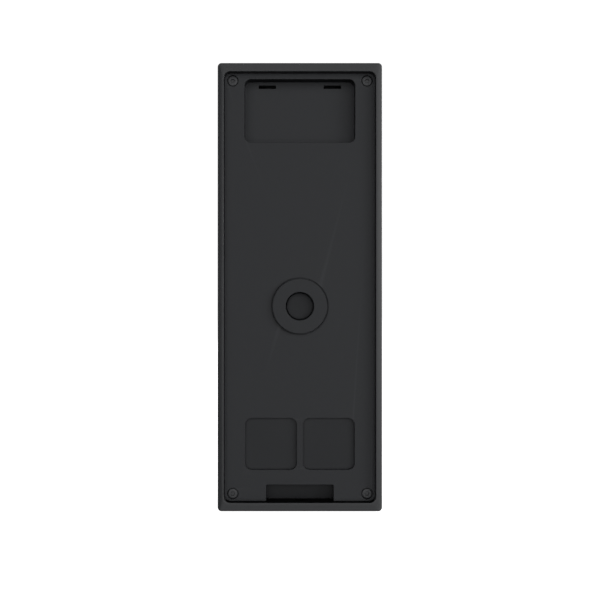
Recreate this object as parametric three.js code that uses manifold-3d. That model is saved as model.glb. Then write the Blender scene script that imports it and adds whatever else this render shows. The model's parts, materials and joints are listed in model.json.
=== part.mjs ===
// A battery video doorbell, as an assembly of separate named pieces.
//
// Millimetres, +Z up. The wall side faces +Y and the street side faces -Y. The origin is the middle of
// the plane of the rear rim, which is the plane of the wall. Every piece is a slab, rod, turned shape
// or swept tube along Y unless a comment says otherwise. Run with three and manifold-3d installed.

import * as THREE from "three";
import { mergeVertices } from "three/addons/utils/BufferGeometryUtils.js";
import Module from "manifold-3d";

const wasm = await Module();
wasm.setup();

// ---------------------------------------------------------------- driving dimensions

const SEAT = 0.1; // gap left between two flat faces that rest on each other
const SLIP = 0.2; // gap round a piece that drops into a hole
const BITE = 0.5; // how far one part of a moulding runs into the next
const PAST = 1; // how far a cutting shape runs past what it cuts
const DOME_STEPS = 4; // rings of facets from the middle of a dome to its rim
const CORNER_STEPS = 5; // facets round a quarter turn of a rounded corner

const BODY = { width: 52.5, height: 143, depth: 28, corner: 1.2 };
const RIM = { side: 2.0, end: 2.7, innerCorner: 2.0 }; // the casing's walls, seen as a rim from behind
const RECESS = { depth: 3.0 }; // from the rim down to the rear plate

const PLATE = { thickness: 2.4, skirt: 1.4 };
const POCKET = { height: 20.4, depth: 4.8, corner: 2.0, wall: 1.5, fromEnd: 1.9 };
const HOOK_SLOT = { width: 5.6, height: 1.05, fromPocketSide: 7.2, fromPocketTop: 1.6 };
const COLLAR = { outer: 8.8, bore: 4.5, rise: 1.6, belowMiddle: 6.1 }; // radii of the raised ring
const PAD_SEAT = { size: 16.6, depth: 1.4, corner: 2.1, pitch: 18.6, fromRecessEnd: 10.1 };
const NOTCH = { width: 21.7, height: 5.3, depth: 4.7, corner: 0.5, wall: 1.5 };
const PLATE_SCREW = { fromSide: 2.65, fromEnd: 2.4, head: 1.45, headHeight: 1.0, shank: 1.0, length: 8 };
const SOCKET = { share: 0.58, floor: 0.35, sides: 6 }; // of a screw head's radius and height
const COUNTERBORE = { radius: 1.85, depth: 1.3 };
const POST = { radius: 2.2, length: 8.5 };
const SEAL = { thickness: 0.8, ledge: 0.6, ledgeDepth: 2.0 };

const PANEL = { thickness: 2.2, skirt: 1.2, skirtDepth: 3.0 };
const FRONT_SEAL = { thickness: 0.4, width: 1.1, inset: 0.6 };

const BOARD = {
  sideGap: 2.75, thickness: 1.2, behindPanel: 3.2, fromTop: 35.5, fromBottom: 5.0, corner: 1.5,
};
const BOARD_SCREW = {
  head: 1.8, headHeight: 1.0, shank: 0.95, fromSide: 3.0, lowFromEnd: 6.5, highBelow: 3, tipGap: 0.4,
};
const BOSS = { radius: 2.2 };

const CAMERA = { fromTop: 20, fromPocket: 4.2 };
const WINDOW = { radius: 8.3, edge: 0.9, dome: 0.6 };
const TRIM = { radius: 11.4, proud: 0.6, ledge: 0.9, floor: 0.4, sink: 1.1 };
const BARREL = { front: 6.5, rear: 5.0, frontLength: 4.6, behindWindow: 0.4, mouth: 1.2, lip: 0.5 };
const LENS = { radius: 4.4, thickness: 1.4, bulge: 0.8, ledge: 1.2 };
const HOLDER = { size: 15, height: 5.4, corner: 1.0, room: 1.0 };
const SENSOR = { width: 7, height: 6, thickness: 1.0 };
const CAMERA_BOARD = { height: 15, thickness: 1.2, pastScrew: 3 };
const IR_BOARD = { sideGap: 4.25, height: 31, thickness: 1.0, standoff: 1.1, shoulder: 3.4 };
const IR_LED = { radius: 1.5, fromEdge: 5.5, z: 9, sink: 0.4 };
const CAMERA_SCREW = { fromEdge: 5, length: 6 };

const PIPE = { radius: 1.0, fromCamera: 13.2 };
const PIR = { shareAbove: 0.25, radius: 5.9, flange: 7.0, flangeDepth: 0.7, wall: 0.7, dome: 0.8 };
const PIR_CAN = { radius: 4.4, height: 3.4 };
const MIC = { belowPir: 0.4, hole: 0.6, width: 3.8, height: 3.0, thickness: 1.1, boot: 2.5 };
const SHIELD = { width: 10, height: 13, thickness: 1.8, skin: 0.4, x: 10.5 };
const RADIO = { width: 10, height: 14, thickness: 2.0, x: -10.5 };
const CHIPS_BELOW_PIR = 4; // how far the shield and the radio sit below the movement sensor
const ANTENNA = { fromLed: 3.5, height: 5, thickness: 0.4, fromTop: 4.6 };

const BUTTON = {
  radius: 12.3, proud: 0.3, face: 1.5, wall: 1.2, lip: 0.7, lipDepth: 0.8, travel: 0.6, post: 1.5,
  aboveSpeaker: 2.3,
};
const LIGHT_RING = { gap: 0.3, width: 1.2, lip: 1.4, lipDepth: 0.8 };
const BUTTON_SEAL = { section: 0.3, sides: 6, groove: 0.55, behindFace: 1.1 };
const SWITCH = { size: 6.2, height: 2.0, stem: 1.5, stemRise: 0.8, stemDepth: 1.0 };
const RING_LED = { size: 2.0, height: 0.8, fromButton: 0.8 };

const SPEAKER = { fromBottom: 20.5, radius: 9.5, depth: 4.8, magnet: 6.2, magnetDepth: 1.6, wall: 0.8 };
const CONE = { hub: 3.4, hubCap: 1.2, dip: 1.6, surround: 1.0, thickness: 0.6, sink: 0.4 };
const SPEAKER_SEAL = { thickness: 0.5, width: 1.3 };
const MESH_CLOTH = { thickness: 0.3 };
const SOUND_SLOT = { count: 5, width: 1.2, length: 11, pitch: 2.8 };

const BATTERY = { sideGap: 5.25, corner: 2.0, fromPocket: 4.5, fromGuide: 1.5, pad: 3.1, padShare: 0.75 };
const TRAY = { wall: 1.0, floor: 1.0, height: 7.0, earWidth: 6.6, earHeight: 8.6, earRise: 1.0 };
const PLUG = { width: 7, height: 5, depth: 4, x: 10, belowTray: 12.5 };
const LEAD = { radius: 0.9, fromRear: 2.5, sides: 8, steps: 12 };

const PORT = {
  width: 9.0, height: 3.2, length: 7.3, wall: 0.35, tongue: 0.8, tongueBack: 0.7, tongueInset: 1.1,
};
const PORT_HOLE = { width: 9.8, height: 4.0 };
const COVER = { width: 15.6, height: 6.6, thickness: 0.9, plugLength: 1.5, travel: 8 };
const LOCK_HOLE = { radius: 1.7 };

const PLUNGER = { gap: 0.25, belowCollar: 2.4, lip: 1.0, lipDepth: 1.0, stem: 1.4, travel: 1.2 };
const GUIDE = { wall: 0.9, depth: 3.0 };
const TAMPER_SWITCH = { size: 6.2, height: 3.6 };
const SPRING = { radius: 2.2, wire: 0.3, turns: 6, sides: 5, stepsPerTurn: 11 };

// ---------------------------------------------------------------- planes and places worked out from these

const RECESS_WIDTH = BODY.width - 2 * RIM.side;
const RECESS_HEIGHT = BODY.height - 2 * RIM.end;
const RECESS_TOP = RECESS_HEIGHT / 2;
const RECESS_SIDE = RECESS_WIDTH / 2;
const TOP = BODY.height / 2;
const BOTTOM = -TOP;

const Y_PLATE = -RECESS.depth;
const Y_PLATE_INSIDE = Y_PLATE - PLATE.thickness;
const Y_POCKET = Y_PLATE - POCKET.depth;
const Y_NOTCH = Y_PLATE - NOTCH.depth;
const Y_SKIRT_END = Math.min(Y_POCKET - POCKET.wall, Y_NOTCH - NOTCH.wall);
const Y_LEDGE = Y_SKIRT_END - SEAL.thickness - 2 * SEAT;

const Y_FRONT = -BODY.depth;
const Y_PANEL_BACK = Y_FRONT + PANEL.thickness;
const Y_CASING_FRONT = Y_PANEL_BACK + FRONT_SEAL.thickness + 2 * SEAT;
const Y_TRIM_REAR = Y_FRONT + TRIM.sink;
const Y_WINDOW_REAR = Y_TRIM_REAR - TRIM.floor - SEAT;
const Y_BARREL_FRONT = Y_WINDOW_REAR + BARREL.behindWindow;
const Y_LENS_REAR = Y_BARREL_FRONT + BARREL.mouth + LENS.thickness;
const Y_CAMERA_BOARD_REAR = Y_SKIRT_END - CAMERA.fromPocket;
const Y_CAMERA_BOARD_FRONT = Y_CAMERA_BOARD_REAR - CAMERA_BOARD.thickness;
const Y_BARREL_REAR = Y_CAMERA_BOARD_FRONT - SENSOR.thickness - 2 * SEAT;
const Y_IR_BOARD_FRONT = Y_PANEL_BACK + IR_BOARD.standoff + SEAT;
const Y_IR_BOARD_REAR = Y_IR_BOARD_FRONT + IR_BOARD.thickness;
const Y_RING_LIP_FRONT = Y_PANEL_BACK + SEAT;
const Y_RING_LIP_REAR = Y_RING_LIP_FRONT + LIGHT_RING.lipDepth;
const Y_BUTTON_FRONT = Y_FRONT - BUTTON.proud;
const Y_BOARD_FRONT = Y_PANEL_BACK + BOARD.behindPanel;
const Y_BOARD_REAR = Y_BOARD_FRONT + BOARD.thickness;
const Y_STEM_FRONT = Y_BOARD_FRONT - SEAT - SWITCH.height - SWITCH.stemRise;

const SCREW_X = RECESS_SIDE - PLATE_SCREW.fromSide;
const SCREW_Z = RECESS_TOP - PLATE_SCREW.fromEnd;
const POCKET_WIDTH = 2 * (SCREW_X - POST.radius - SEAT - POCKET.wall); // between the screw posts
const POCKET_TOP = RECESS_TOP - POCKET.fromEnd;
const POCKET_Z = POCKET_TOP - POCKET.height / 2;
const POCKET_BOTTOM = POCKET_TOP - POCKET.height;
const SLOT_X = POCKET_WIDTH / 2 - HOOK_SLOT.fromPocketSide;
const SLOT_Z = POCKET_TOP - HOOK_SLOT.fromPocketTop;
const COLLAR_Z = -COLLAR.belowMiddle;
const PAD_Z = -RECESS_TOP + PAD_SEAT.fromRecessEnd + PAD_SEAT.size / 2;

const BUTTON_LIP = BUTTON.radius + BUTTON.lip;
const RING_BORE = BUTTON.radius + LIGHT_RING.gap;
const RING_RADIUS = RING_BORE + LIGHT_RING.width;
const RING_LIP = RING_RADIUS + LIGHT_RING.lip;
const PLUNGER_RADIUS = COLLAR.bore - PLUNGER.gap;
const PLUNGER_LIP = COLLAR.bore + PLUNGER.lip;
const GUIDE_BORE = PLUNGER_LIP + SLIP;
const RING_LED_OUT = (BUTTON_LIP + RING_LED.fromButton) / Math.SQRT2 + RING_LED.size / 4; // along X, along Z

const CAMERA_Z = TOP - CAMERA.fromTop;
const SPEAKER_Z = BOTTOM + SPEAKER.fromBottom;
const BUTTON_Z = SPEAKER_Z + SPEAKER.radius + BUTTON.aboveSpeaker + RING_LIP;

// The movement sensor and the microphone share the height left between the light pipe and the light ring.
const PIPE_BOTTOM = CAMERA_Z - PIPE.fromCamera - PIPE.radius;
const SENSOR_COLUMN = 2 * PIR.flange + MIC.belowPir + 2 * MIC.boot;
const HEIGHT_LEFT = PIPE_BOTTOM - (BUTTON_Z + RING_LIP) - SENSOR_COLUMN;
const PIR_Z = PIPE_BOTTOM - PIR.shareAbove * HEIGHT_LEFT - PIR.flange;
const MIC_Z = PIR_Z - PIR.flange - MIC.belowPir - MIC.boot;

const BOARD_WIDTH = RECESS_WIDTH - 2 * BOARD.sideGap;
const BOARD_TOP = TOP - BOARD.fromTop;
const BOARD_BOTTOM = BOTTOM + BOARD.fromBottom;
const IR_BOARD_WIDTH = RECESS_WIDTH - 2 * IR_BOARD.sideGap;
const IR_LED_X = IR_BOARD_WIDTH / 2 - IR_LED.fromEdge;
const CAMERA_SCREW_X = IR_BOARD_WIDTH / 2 - CAMERA_SCREW.fromEdge;

// The battery fills the room between the pocket and the plunger's guide, and from the board to its foam pad.
const BATTERY_WIDTH = RECESS_WIDTH - 2 * BATTERY.sideGap;
const BATTERY_TOP = POCKET_BOTTOM - BATTERY.fromPocket;
const BATTERY_BOTTOM = COLLAR_Z + GUIDE_BORE + GUIDE.wall + BATTERY.fromGuide;
const BATTERY_HEIGHT = BATTERY_TOP - BATTERY_BOTTOM;
const BATTERY_Z = (BATTERY_TOP + BATTERY_BOTTOM) / 2;
const Y_TRAY_FRONT = Y_BOARD_REAR + SEAT;
const Y_CELL_FRONT = Y_TRAY_FRONT + TRAY.floor + SEAT;
const Y_CELL_REAR = Y_PLATE_INSIDE - BATTERY.pad - 2 * SEAT;
const TRAY_BOTTOM = BATTERY_BOTTOM - SLIP - TRAY.wall;
const PLUG_Z = TRAY_BOTTOM - PLUG.belowTray - PLUG.height / 2;
const PORT_Y = Y_BOARD_REAR + SEAT + PORT.height / 2;

const BOARD_SCREW_X = BOARD_WIDTH / 2 - BOARD_SCREW.fromSide;
const BOARD_SCREW_PLACES = [
  [-BOARD_SCREW_X, TRAY_BOTTOM - BOARD_SCREW.highBelow],
  [BOARD_SCREW_X, TRAY_BOTTOM - BOARD_SCREW.highBelow],
  [-BOARD_SCREW_X, BOARD_BOTTOM + BOARD_SCREW.lowFromEnd],
  [BOARD_SCREW_X, BOARD_BOTTOM + BOARD_SCREW.lowFromEnd],
];
const CORNERS = [[-1, 1], [1, 1], [-1, -1], [1, -1]];

// How many flats stand for a circle: more for a larger one, and always a multiple of four.
const flats = (radius) => 4 * Math.round(1.8 + 1.5 * Math.sqrt(radius));

// ---------------------------------------------------------------- materials

const paint = (color, roughness, metalness = 0) =>
  new THREE.MeshStandardMaterial({ color, roughness, metalness });
const MATERIAL = {
  casing: paint(0x343538, 0.5),
  plate: paint(0x303134, 0.62),
  gloss: paint(0x0b0c0e, 0.12),
  rubber: paint(0x18191b, 0.85),
  screw: paint(0x2c2d30, 0.38, 0.8),
  steel: paint(0xb9bcc0, 0.3, 1),
  glass: paint(0x0a1016, 0.04),
  lensBlack: paint(0x111214, 0.45),
  diffuser: paint(0xe6e9ec, 0.4),
  pir: paint(0x26272a, 0.35),
  board: paint(0x14402b, 0.55),
  chip: paint(0x1a1b1e, 0.5),
  battery: paint(0x9a9fa6, 0.4, 0.6),
  tray: paint(0x55585c, 0.6),
  foam: paint(0x3a3b3e, 0.95),
  lead: paint(0x8c1f1f, 0.5),
  led: paint(0xd9dde2, 0.15),
  brass: paint(0xc9a24a, 0.3, 1),
};

// ---------------------------------------------------------------- solids: joins and cuts

function solidOf(geometry) {
  const bare = geometry.index ? geometry.toNonIndexed() : geometry.clone();
  bare.deleteAttribute("normal");
  bare.deleteAttribute("uv");
  const merged = mergeVertices(bare, 1e-4);
  return new wasm.Manifold(
    new wasm.Mesh({
      numProp: 3,
      vertProperties: merged.attributes.position.array,
      triVerts: new Uint32Array(merged.index.array),
    }),
  );
}

const join = (...solids) => solids.reduce((whole, next) => whole.add(next));
const cut = (base, ...tools) => tools.reduce((left, tool) => left.subtract(tool), base);

function geometryOf(solid) {
  const made = solid.getMesh();
  const positions = new Float32Array(made.numVert * 3);
  for (let i = 0; i < made.numVert; i++) {
    positions.set(made.vertProperties.subarray(i * made.numProp, i * made.numProp + 3), i * 3);
  }
  const geometry = new THREE.BufferGeometry();
  geometry.setAttribute("position", new THREE.BufferAttribute(positions, 3));
  geometry.setIndex(new THREE.BufferAttribute(new Uint32Array(made.triVerts), 1));
  geometry.computeVertexNormals();
  return geometry;
}

function piece(parent, name, solid, material, place = [0, 0, 0]) {
  const mesh = new THREE.Mesh(geometryOf(solid), material);
  mesh.name = name;
  mesh.position.set(...place);
  parent.add(mesh);
  return mesh;
}

// ---------------------------------------------------------------- shapes in the X-Z plane, made solid

function roundedRect(width, height, radius, x = 0, z = 0) {
  const [w, h] = [width / 2, height / 2];
  const r = Math.min(radius, w, h);
  const shape = new THREE.Shape();
  shape.moveTo(x - w + r, z - h);
  shape.lineTo(x + w - r, z - h);
  shape.absarc(x + w - r, z - h + r, r, -Math.PI / 2, 0);
  shape.lineTo(x + w, z + h - r);
  shape.absarc(x + w - r, z + h - r, r, 0, Math.PI / 2);
  shape.lineTo(x - w + r, z + h);
  shape.absarc(x - w + r, z + h - r, r, Math.PI / 2, Math.PI);
  shape.lineTo(x - w, z - h + r);
  shape.absarc(x - w + r, z - h + r, r, Math.PI, 1.5 * Math.PI);
  return shape;
}

const extruded = (shape, depth) =>
  new THREE.ExtrudeGeometry(shape, { depth, bevelEnabled: false, curveSegments: CORNER_STEPS });

// A flat shape made solid from its rear plane to its front plane.
function slab(shape, yRear, yFront) {
  const geometry = extruded(shape, yRear - yFront);
  geometry.rotateX(Math.PI / 2);
  geometry.translate(0, yRear, 0);
  return solidOf(geometry);
}

function block(width, height, yRear, yFront, x = 0, z = 0) {
  const geometry = new THREE.BoxGeometry(width, yRear - yFront, height);
  geometry.translate(x, (yRear + yFront) / 2, z);
  return solidOf(geometry);
}

function rod(radius, yRear, yFront, x = 0, z = 0, sides = flats(radius)) {
  const geometry = new THREE.CylinderGeometry(radius, radius, yRear - yFront, sides);
  geometry.translate(x, (yRear + yFront) / 2, z);
  return solidOf(geometry);
}

const tube = (outer, bore, yRear, yFront) =>
  cut(rod(outer, yRear, yFront), rod(bore, yRear + PAST, yFront - PAST));

// A profile of [radius, y] points, from the front of the axis round to the rear of the axis.
function turned(points) {
  const sides = flats(Math.max(...points.map(([r]) => r)));
  return solidOf(new THREE.LatheGeometry(points.map(([r, y]) => new THREE.Vector2(r, y)), sides));
}

// The frontward bulge of a dome: points from the axis out to the rim.
function dome(radius, rimY, bulge) {
  const points = [];
  for (let i = 0; i <= DOME_STEPS; i++) {
    const angle = ((i / DOME_STEPS) * Math.PI) / 2;
    points.push([radius * Math.sin(angle), rimY - bulge * Math.cos(angle)]);
  }
  return points;
}

// The outline that the plate's skirt and its seal follow: the recess, stepped in round the corner posts.
function steppedOutline(inset, yRear, yFront) {
  const stepX = PLATE_SCREW.fromSide + POST.radius + SLIP + inset;
  const stepZ = PLATE_SCREW.fromEnd + POST.radius + SLIP + inset;
  const [w, h] = [RECESS_WIDTH - 2 * SLIP - 2 * inset, RECESS_HEIGHT - 2 * SLIP - 2 * inset];
  const corners = CORNERS.map(([sx, sz]) =>
    block(2 * stepX, 2 * stepZ, yRear + PAST, yFront - PAST, sx * RECESS_SIDE, sz * RECESS_TOP));
  return cut(block(w, h, yRear, yFront), ...corners);
}

// ---------------------------------------------------------------- casing, plate and their seals

function casing() {
  const outside = slab(roundedRect(BODY.width, BODY.height, BODY.corner), 0, Y_CASING_FRONT);
  const cavity = roundedRect(RECESS_WIDTH, RECESS_HEIGHT, RIM.innerCorner);
  const shell = cut(outside, slab(cavity, PAST, Y_CASING_FRONT - PAST));
  const yLedgeFront = Y_LEDGE - SEAL.ledgeDepth;
  const ledgeOutline = roundedRect(RECESS_WIDTH + RIM.side, RECESS_HEIGHT + RIM.side, RIM.innerCorner);
  const ledge = cut(
    slab(ledgeOutline, Y_LEDGE, yLedgeFront),
    steppedOutline(PLATE.skirt + SEAL.ledge, Y_LEDGE + PAST, yLedgeFront - PAST),
  );
  const yPostTop = Y_PLATE_INSIDE - SEAT;
  const posts = CORNERS.map(([sx, sz]) =>
    rod(POST.radius, yPostTop, yPostTop - POST.length, sx * SCREW_X, sz * SCREW_Z));
  const holeEnd = yPostTop - POST.length - PAST;
  const holes = CORNERS.map(([sx, sz]) =>
    rod(PLATE_SCREW.shank + SLIP, PAST, holeEnd, sx * SCREW_X, sz * SCREW_Z));
  const lockY = (Y_PLATE + Y_NOTCH) / 2;
  return cut(
    join(shell, ledge, ...posts),
    ...holes,
    throughBottom(LOCK_HOLE.radius * 2, LOCK_HOLE.radius * 2, LOCK_HOLE.radius, lockY, RIM.end + PAST),
    throughBottom(PORT_HOLE.width, PORT_HOLE.height, PORT_HOLE.height / 2, PORT_Y, RIM.end + PAST),
    throughBottom(COVER.width + 2 * SLIP, COVER.height + 2 * SLIP, COVER.height / 2 + SLIP, PORT_Y,
      COVER.thickness + SEAT),
  );
}

// An upright round-ended peg of some depth, measured up from just under the bottom face.
function throughBottom(width, height, radius, y, depth) {
  const geometry = extruded(roundedRect(width, height, radius), depth + PAST);
  geometry.translate(0, y, BOTTOM - PAST);
  return solidOf(geometry);
}

function rearPlate() {
  const outline = roundedRect(RECESS_WIDTH - 2 * SLIP, RECESS_HEIGHT - 2 * SLIP, RIM.innerCorner - SLIP);
  const face = slab(outline, Y_PLATE, Y_PLATE_INSIDE);
  const skirt = cut(
    steppedOutline(0, Y_PLATE_INSIDE + BITE, Y_SKIRT_END),
    steppedOutline(PLATE.skirt, Y_PLATE_INSIDE + 2 * BITE, Y_SKIRT_END - PAST),
  );
  const plateTop = RECESS_TOP - SLIP;
  const pocketTub = tub(POCKET_WIDTH / 2 + POCKET.wall, POCKET_BOTTOM - POCKET.wall, plateTop - BITE);
  const notchTub = tub(NOTCH.width / 2 + NOTCH.wall, -plateTop, -RECESS_TOP + NOTCH.height + NOTCH.wall);
  const collar = rod(COLLAR.outer, Y_PLATE + COLLAR.rise, Y_PLATE - BITE, 0, COLLAR_Z);
  const yGuide = Y_PLATE_INSIDE - GUIDE.depth;
  const guide = rod(GUIDE_BORE + GUIDE.wall, Y_PLATE_INSIDE + BITE, yGuide, 0, COLLAR_Z);
  const moulding = join(face, skirt, pocketTub, notchTub, collar, guide);

  const pocket = slab(roundedRect(POCKET_WIDTH, POCKET.height, POCKET.corner, 0, POCKET_Z), PAST, Y_POCKET);
  const slots = [-1, 1].map((side) =>
    block(HOOK_SLOT.width, HOOK_SLOT.height, Y_POCKET + PAST, Y_SKIRT_END - PAST, side * SLOT_X, SLOT_Z));
  const notchShape = roundedRect(NOTCH.width, 2 * NOTCH.height, NOTCH.corner, 0, -RECESS_TOP);
  const notch = slab(notchShape, PAST, Y_NOTCH);
  const padSeats = [-1, 1].map((side) =>
    slab(roundedRect(PAD_SEAT.size, PAD_SEAT.size, PAD_SEAT.corner, (side * PAD_SEAT.pitch) / 2, PAD_Z),
      PAST, Y_PLATE - PAD_SEAT.depth));
  const counterbores = CORNERS.map(([sx, sz]) =>
    rod(COUNTERBORE.radius, PAST, Y_PLATE - COUNTERBORE.depth, sx * SCREW_X, sz * SCREW_Z));
  const screwHoles = CORNERS.map(([sx, sz]) =>
    rod(PLATE_SCREW.shank + SLIP, PAST, Y_PLATE_INSIDE - PAST, sx * SCREW_X, sz * SCREW_Z));
  const bore = rod(COLLAR.bore, PAST, Y_PLATE_INSIDE - PAST, 0, COLLAR_Z);
  const guideBore = rod(GUIDE_BORE, Y_PLATE_INSIDE, yGuide - PAST, 0, COLLAR_Z);
  return cut(moulding, pocket, ...slots, notch, ...padSeats, ...counterbores, ...screwHoles, bore, guideBore);
}

// The block behind the plate that a pocket is sunk into, between two heights.
const tub = (halfWidth, zLow, zHigh) =>
  block(2 * halfWidth, zHigh - zLow, Y_PLATE_INSIDE + BITE, Y_SKIRT_END, 0, (zLow + zHigh) / 2);

function plateSeal() {
  const yRear = Y_SKIRT_END - SEAT;
  const yFront = yRear - SEAL.thickness;
  return cut(steppedOutline(0, yRear, yFront), steppedOutline(PLATE.skirt, yRear + PAST, yFront - PAST));
}

function frontSeal() {
  const yRear = Y_CASING_FRONT - SEAT;
  const yFront = yRear - FRONT_SEAL.thickness;
  const inset = FRONT_SEAL.inset;
  const outer = roundedRect(BODY.width - 2 * inset, BODY.height - 2 * inset, BODY.corner - inset / 2);
  const inner = roundedRect(
    BODY.width - 2 * (inset + FRONT_SEAL.width),
    BODY.height - 2 * (inset + FRONT_SEAL.width),
    BODY.corner / 2,
  );
  return cut(slab(outer, yRear, yFront), slab(inner, yRear + PAST, yFront - PAST));
}

// A pan-head screw along Y, with a hexagonal socket at the rear. Its origin is under the head.
function screw({ head, headHeight, shank, length }) {
  const floor = SOCKET.floor * headHeight;
  const socket = rod(SOCKET.share * head, headHeight + PAST, floor, 0, 0, SOCKET.sides);
  return cut(join(rod(head, headHeight, 0), rod(shank, floor / 2, -length)), socket);
}

// ---------------------------------------------------------------- front panel

function frontPanel() {
  const face = slab(roundedRect(BODY.width, BODY.height, BODY.corner), Y_PANEL_BACK, Y_FRONT);
  const skirtOuter = roundedRect(RECESS_WIDTH - 2 * SLIP, RECESS_HEIGHT - 2 * SLIP, RIM.innerCorner - SLIP);
  const skirtInner = roundedRect(
    RECESS_WIDTH - 2 * SLIP - 2 * PANEL.skirt,
    RECESS_HEIGHT - 2 * SLIP - 2 * PANEL.skirt,
    RIM.innerCorner / 2,
  );
  const ySkirt = Y_PANEL_BACK + PANEL.skirtDepth;
  const yRoot = Y_PANEL_BACK - BITE;
  const skirt = cut(slab(skirtOuter, ySkirt, yRoot), slab(skirtInner, ySkirt + PAST, Y_PANEL_BACK));
  const yBoss = Y_BOARD_FRONT - SEAT;
  const yCameraBoss = Y_CAMERA_BOARD_FRONT - SEAT;
  const yShoulder = Y_PANEL_BACK + IR_BOARD.standoff;
  const bosses = BOARD_SCREW_PLACES.map(([x, z]) => rod(BOSS.radius, yBoss, yRoot, x, z));
  const rests = [-1, 1].map((side) =>
    rod(BOSS.radius, yBoss, yRoot, side * BOARD_SCREW_X, BOARD_TOP - BOARD_SCREW.fromSide));
  const cameraBosses = [-1, 1].map((side) =>
    rod(BOSS.radius, yCameraBoss, yRoot, side * CAMERA_SCREW_X, CAMERA_Z));
  const shoulders = [-1, 1].map((side) =>
    rod(IR_BOARD.shoulder, yShoulder, yRoot, side * CAMERA_SCREW_X, CAMERA_Z));
  const holeRadius = BOARD_SCREW.shank + SLIP / 2;
  const screwHoles = BOARD_SCREW_PLACES.map(([x, z]) => rod(holeRadius, yBoss + PAST, Y_PANEL_BACK, x, z));
  const cameraHoles = [-1, 1].map((side) =>
    rod(holeRadius, Y_CAMERA_BOARD_FRONT + PAST, Y_PANEL_BACK, side * CAMERA_SCREW_X, CAMERA_Z));
  const [yIn, yOut] = [Y_PANEL_BACK + PAST, Y_FRONT - PAST];
  const ledHoles = CORNERS.map(([sx, sz]) =>
    rod(IR_LED.radius + SLIP, yIn, yOut, sx * IR_LED_X, CAMERA_Z + sz * IR_LED.z));
  const soundSlots = Array.from({ length: SOUND_SLOT.count }, (_, i) => {
    const x = (i - (SOUND_SLOT.count - 1) / 2) * SOUND_SLOT.pitch;
    const { width, length } = SOUND_SLOT;
    return slab(roundedRect(width, length, width / 2, x, SPEAKER_Z), yIn, yOut);
  });
  return cut(
    join(face, skirt, ...bosses, ...rests, ...cameraBosses, ...shoulders),
    ...screwHoles,
    ...cameraHoles,
    rod(BARREL.front + SLIP, yIn, yOut, 0, CAMERA_Z),
    rod(TRIM.radius + SLIP, Y_FRONT + TRIM.sink + SEAT, yOut, 0, CAMERA_Z),
    ...ledHoles,
    rod(PIPE.radius + SLIP, yIn, yOut, 0, CAMERA_Z - PIPE.fromCamera),
    rod(PIR.radius + SLIP, yIn, yOut, 0, PIR_Z),
    rod(MIC.hole, yIn, yOut, 0, MIC_Z),
    rod(RING_RADIUS + SLIP, yIn, yOut, 0, BUTTON_Z),
    ...soundSlots,
  );
}

// ---------------------------------------------------------------- camera, about its own optical axis

function lensTrim() {
  const ring = tube(TRIM.radius, WINDOW.radius + SLIP, Y_TRIM_REAR, Y_FRONT - TRIM.proud);
  const floor = tube(TRIM.radius - BITE, WINDOW.radius - TRIM.ledge, Y_TRIM_REAR, Y_TRIM_REAR - TRIM.floor);
  return join(ring, floor);
}

function lensWindow() {
  const yRim = Y_WINDOW_REAR - WINDOW.edge;
  const front = dome(WINDOW.radius, yRim, WINDOW.dome);
  return turned([...front, [WINDOW.radius, Y_WINDOW_REAR], [0, Y_WINDOW_REAR]]);
}

function lensBarrel() {
  const yStep = Y_BARREL_FRONT + BARREL.frontLength;
  const body = join(
    rod(BARREL.front, yStep, Y_BARREL_FRONT),
    rod(BARREL.rear, Y_BARREL_REAR, yStep - BITE),
  );
  const mouthRadius = BARREL.front - BARREL.lip;
  const seatRadius = LENS.radius + SLIP;
  const mouth = turned([
    [0, Y_BARREL_FRONT - PAST],
    [mouthRadius, Y_BARREL_FRONT - PAST],
    [mouthRadius, Y_BARREL_FRONT],
    [seatRadius, Y_BARREL_FRONT + BARREL.mouth],
    [seatRadius, Y_LENS_REAR + SEAT],
    [0, Y_LENS_REAR + SEAT],
  ]);
  const lightPath = rod(LENS.radius - LENS.ledge, Y_BARREL_REAR + PAST, Y_LENS_REAR - PAST);
  return cut(body, mouth, lightPath);
}

function lensElement() {
  const yRim = Y_LENS_REAR - LENS.thickness + LENS.bulge;
  return turned([...dome(LENS.radius, yRim, LENS.bulge), [LENS.radius, Y_LENS_REAR], [0, Y_LENS_REAR]]);
}

function lensHolder() {
  const yRear = Y_CAMERA_BOARD_FRONT - SEAT;
  const body = slab(roundedRect(HOLDER.size, HOLDER.size, HOLDER.corner), yRear, yRear - HOLDER.height);
  const yRoom = Y_BARREL_REAR - HOLDER.room;
  return cut(
    body,
    rod(BARREL.rear + SLIP, yRear + PAST, yRear - HOLDER.height - PAST),
    block(SENSOR.width + 4 * SLIP, SENSOR.height + 4 * SLIP, yRear + PAST, yRoom),
  );
}

function cameraBoard() {
  const width = 2 * (CAMERA_SCREW_X + CAMERA_BOARD.pastScrew);
  const outline = roundedRect(width, CAMERA_BOARD.height, BOARD.corner);
  const board = slab(outline, Y_CAMERA_BOARD_REAR, Y_CAMERA_BOARD_FRONT);
  const [yRear, yFront] = [Y_CAMERA_BOARD_REAR + PAST, Y_CAMERA_BOARD_FRONT - PAST];
  const holes = [-1, 1].map((side) => rod(BOARD_SCREW.shank + SLIP, yRear, yFront, side * CAMERA_SCREW_X));
  return cut(board, ...holes);
}

function infraredBoard() {
  const outline = roundedRect(IR_BOARD_WIDTH, IR_BOARD.height, BOARD.corner);
  const board = slab(outline, Y_IR_BOARD_REAR, Y_IR_BOARD_FRONT);
  const [yRear, yFront] = [Y_IR_BOARD_REAR + PAST, Y_IR_BOARD_FRONT - PAST];
  const bossHoles = [-1, 1].map((side) => rod(BOSS.radius + SLIP, yRear, yFront, side * CAMERA_SCREW_X));
  return cut(board, rod(BARREL.front + 2 * SLIP, yRear, yFront), ...bossHoles);
}

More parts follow.
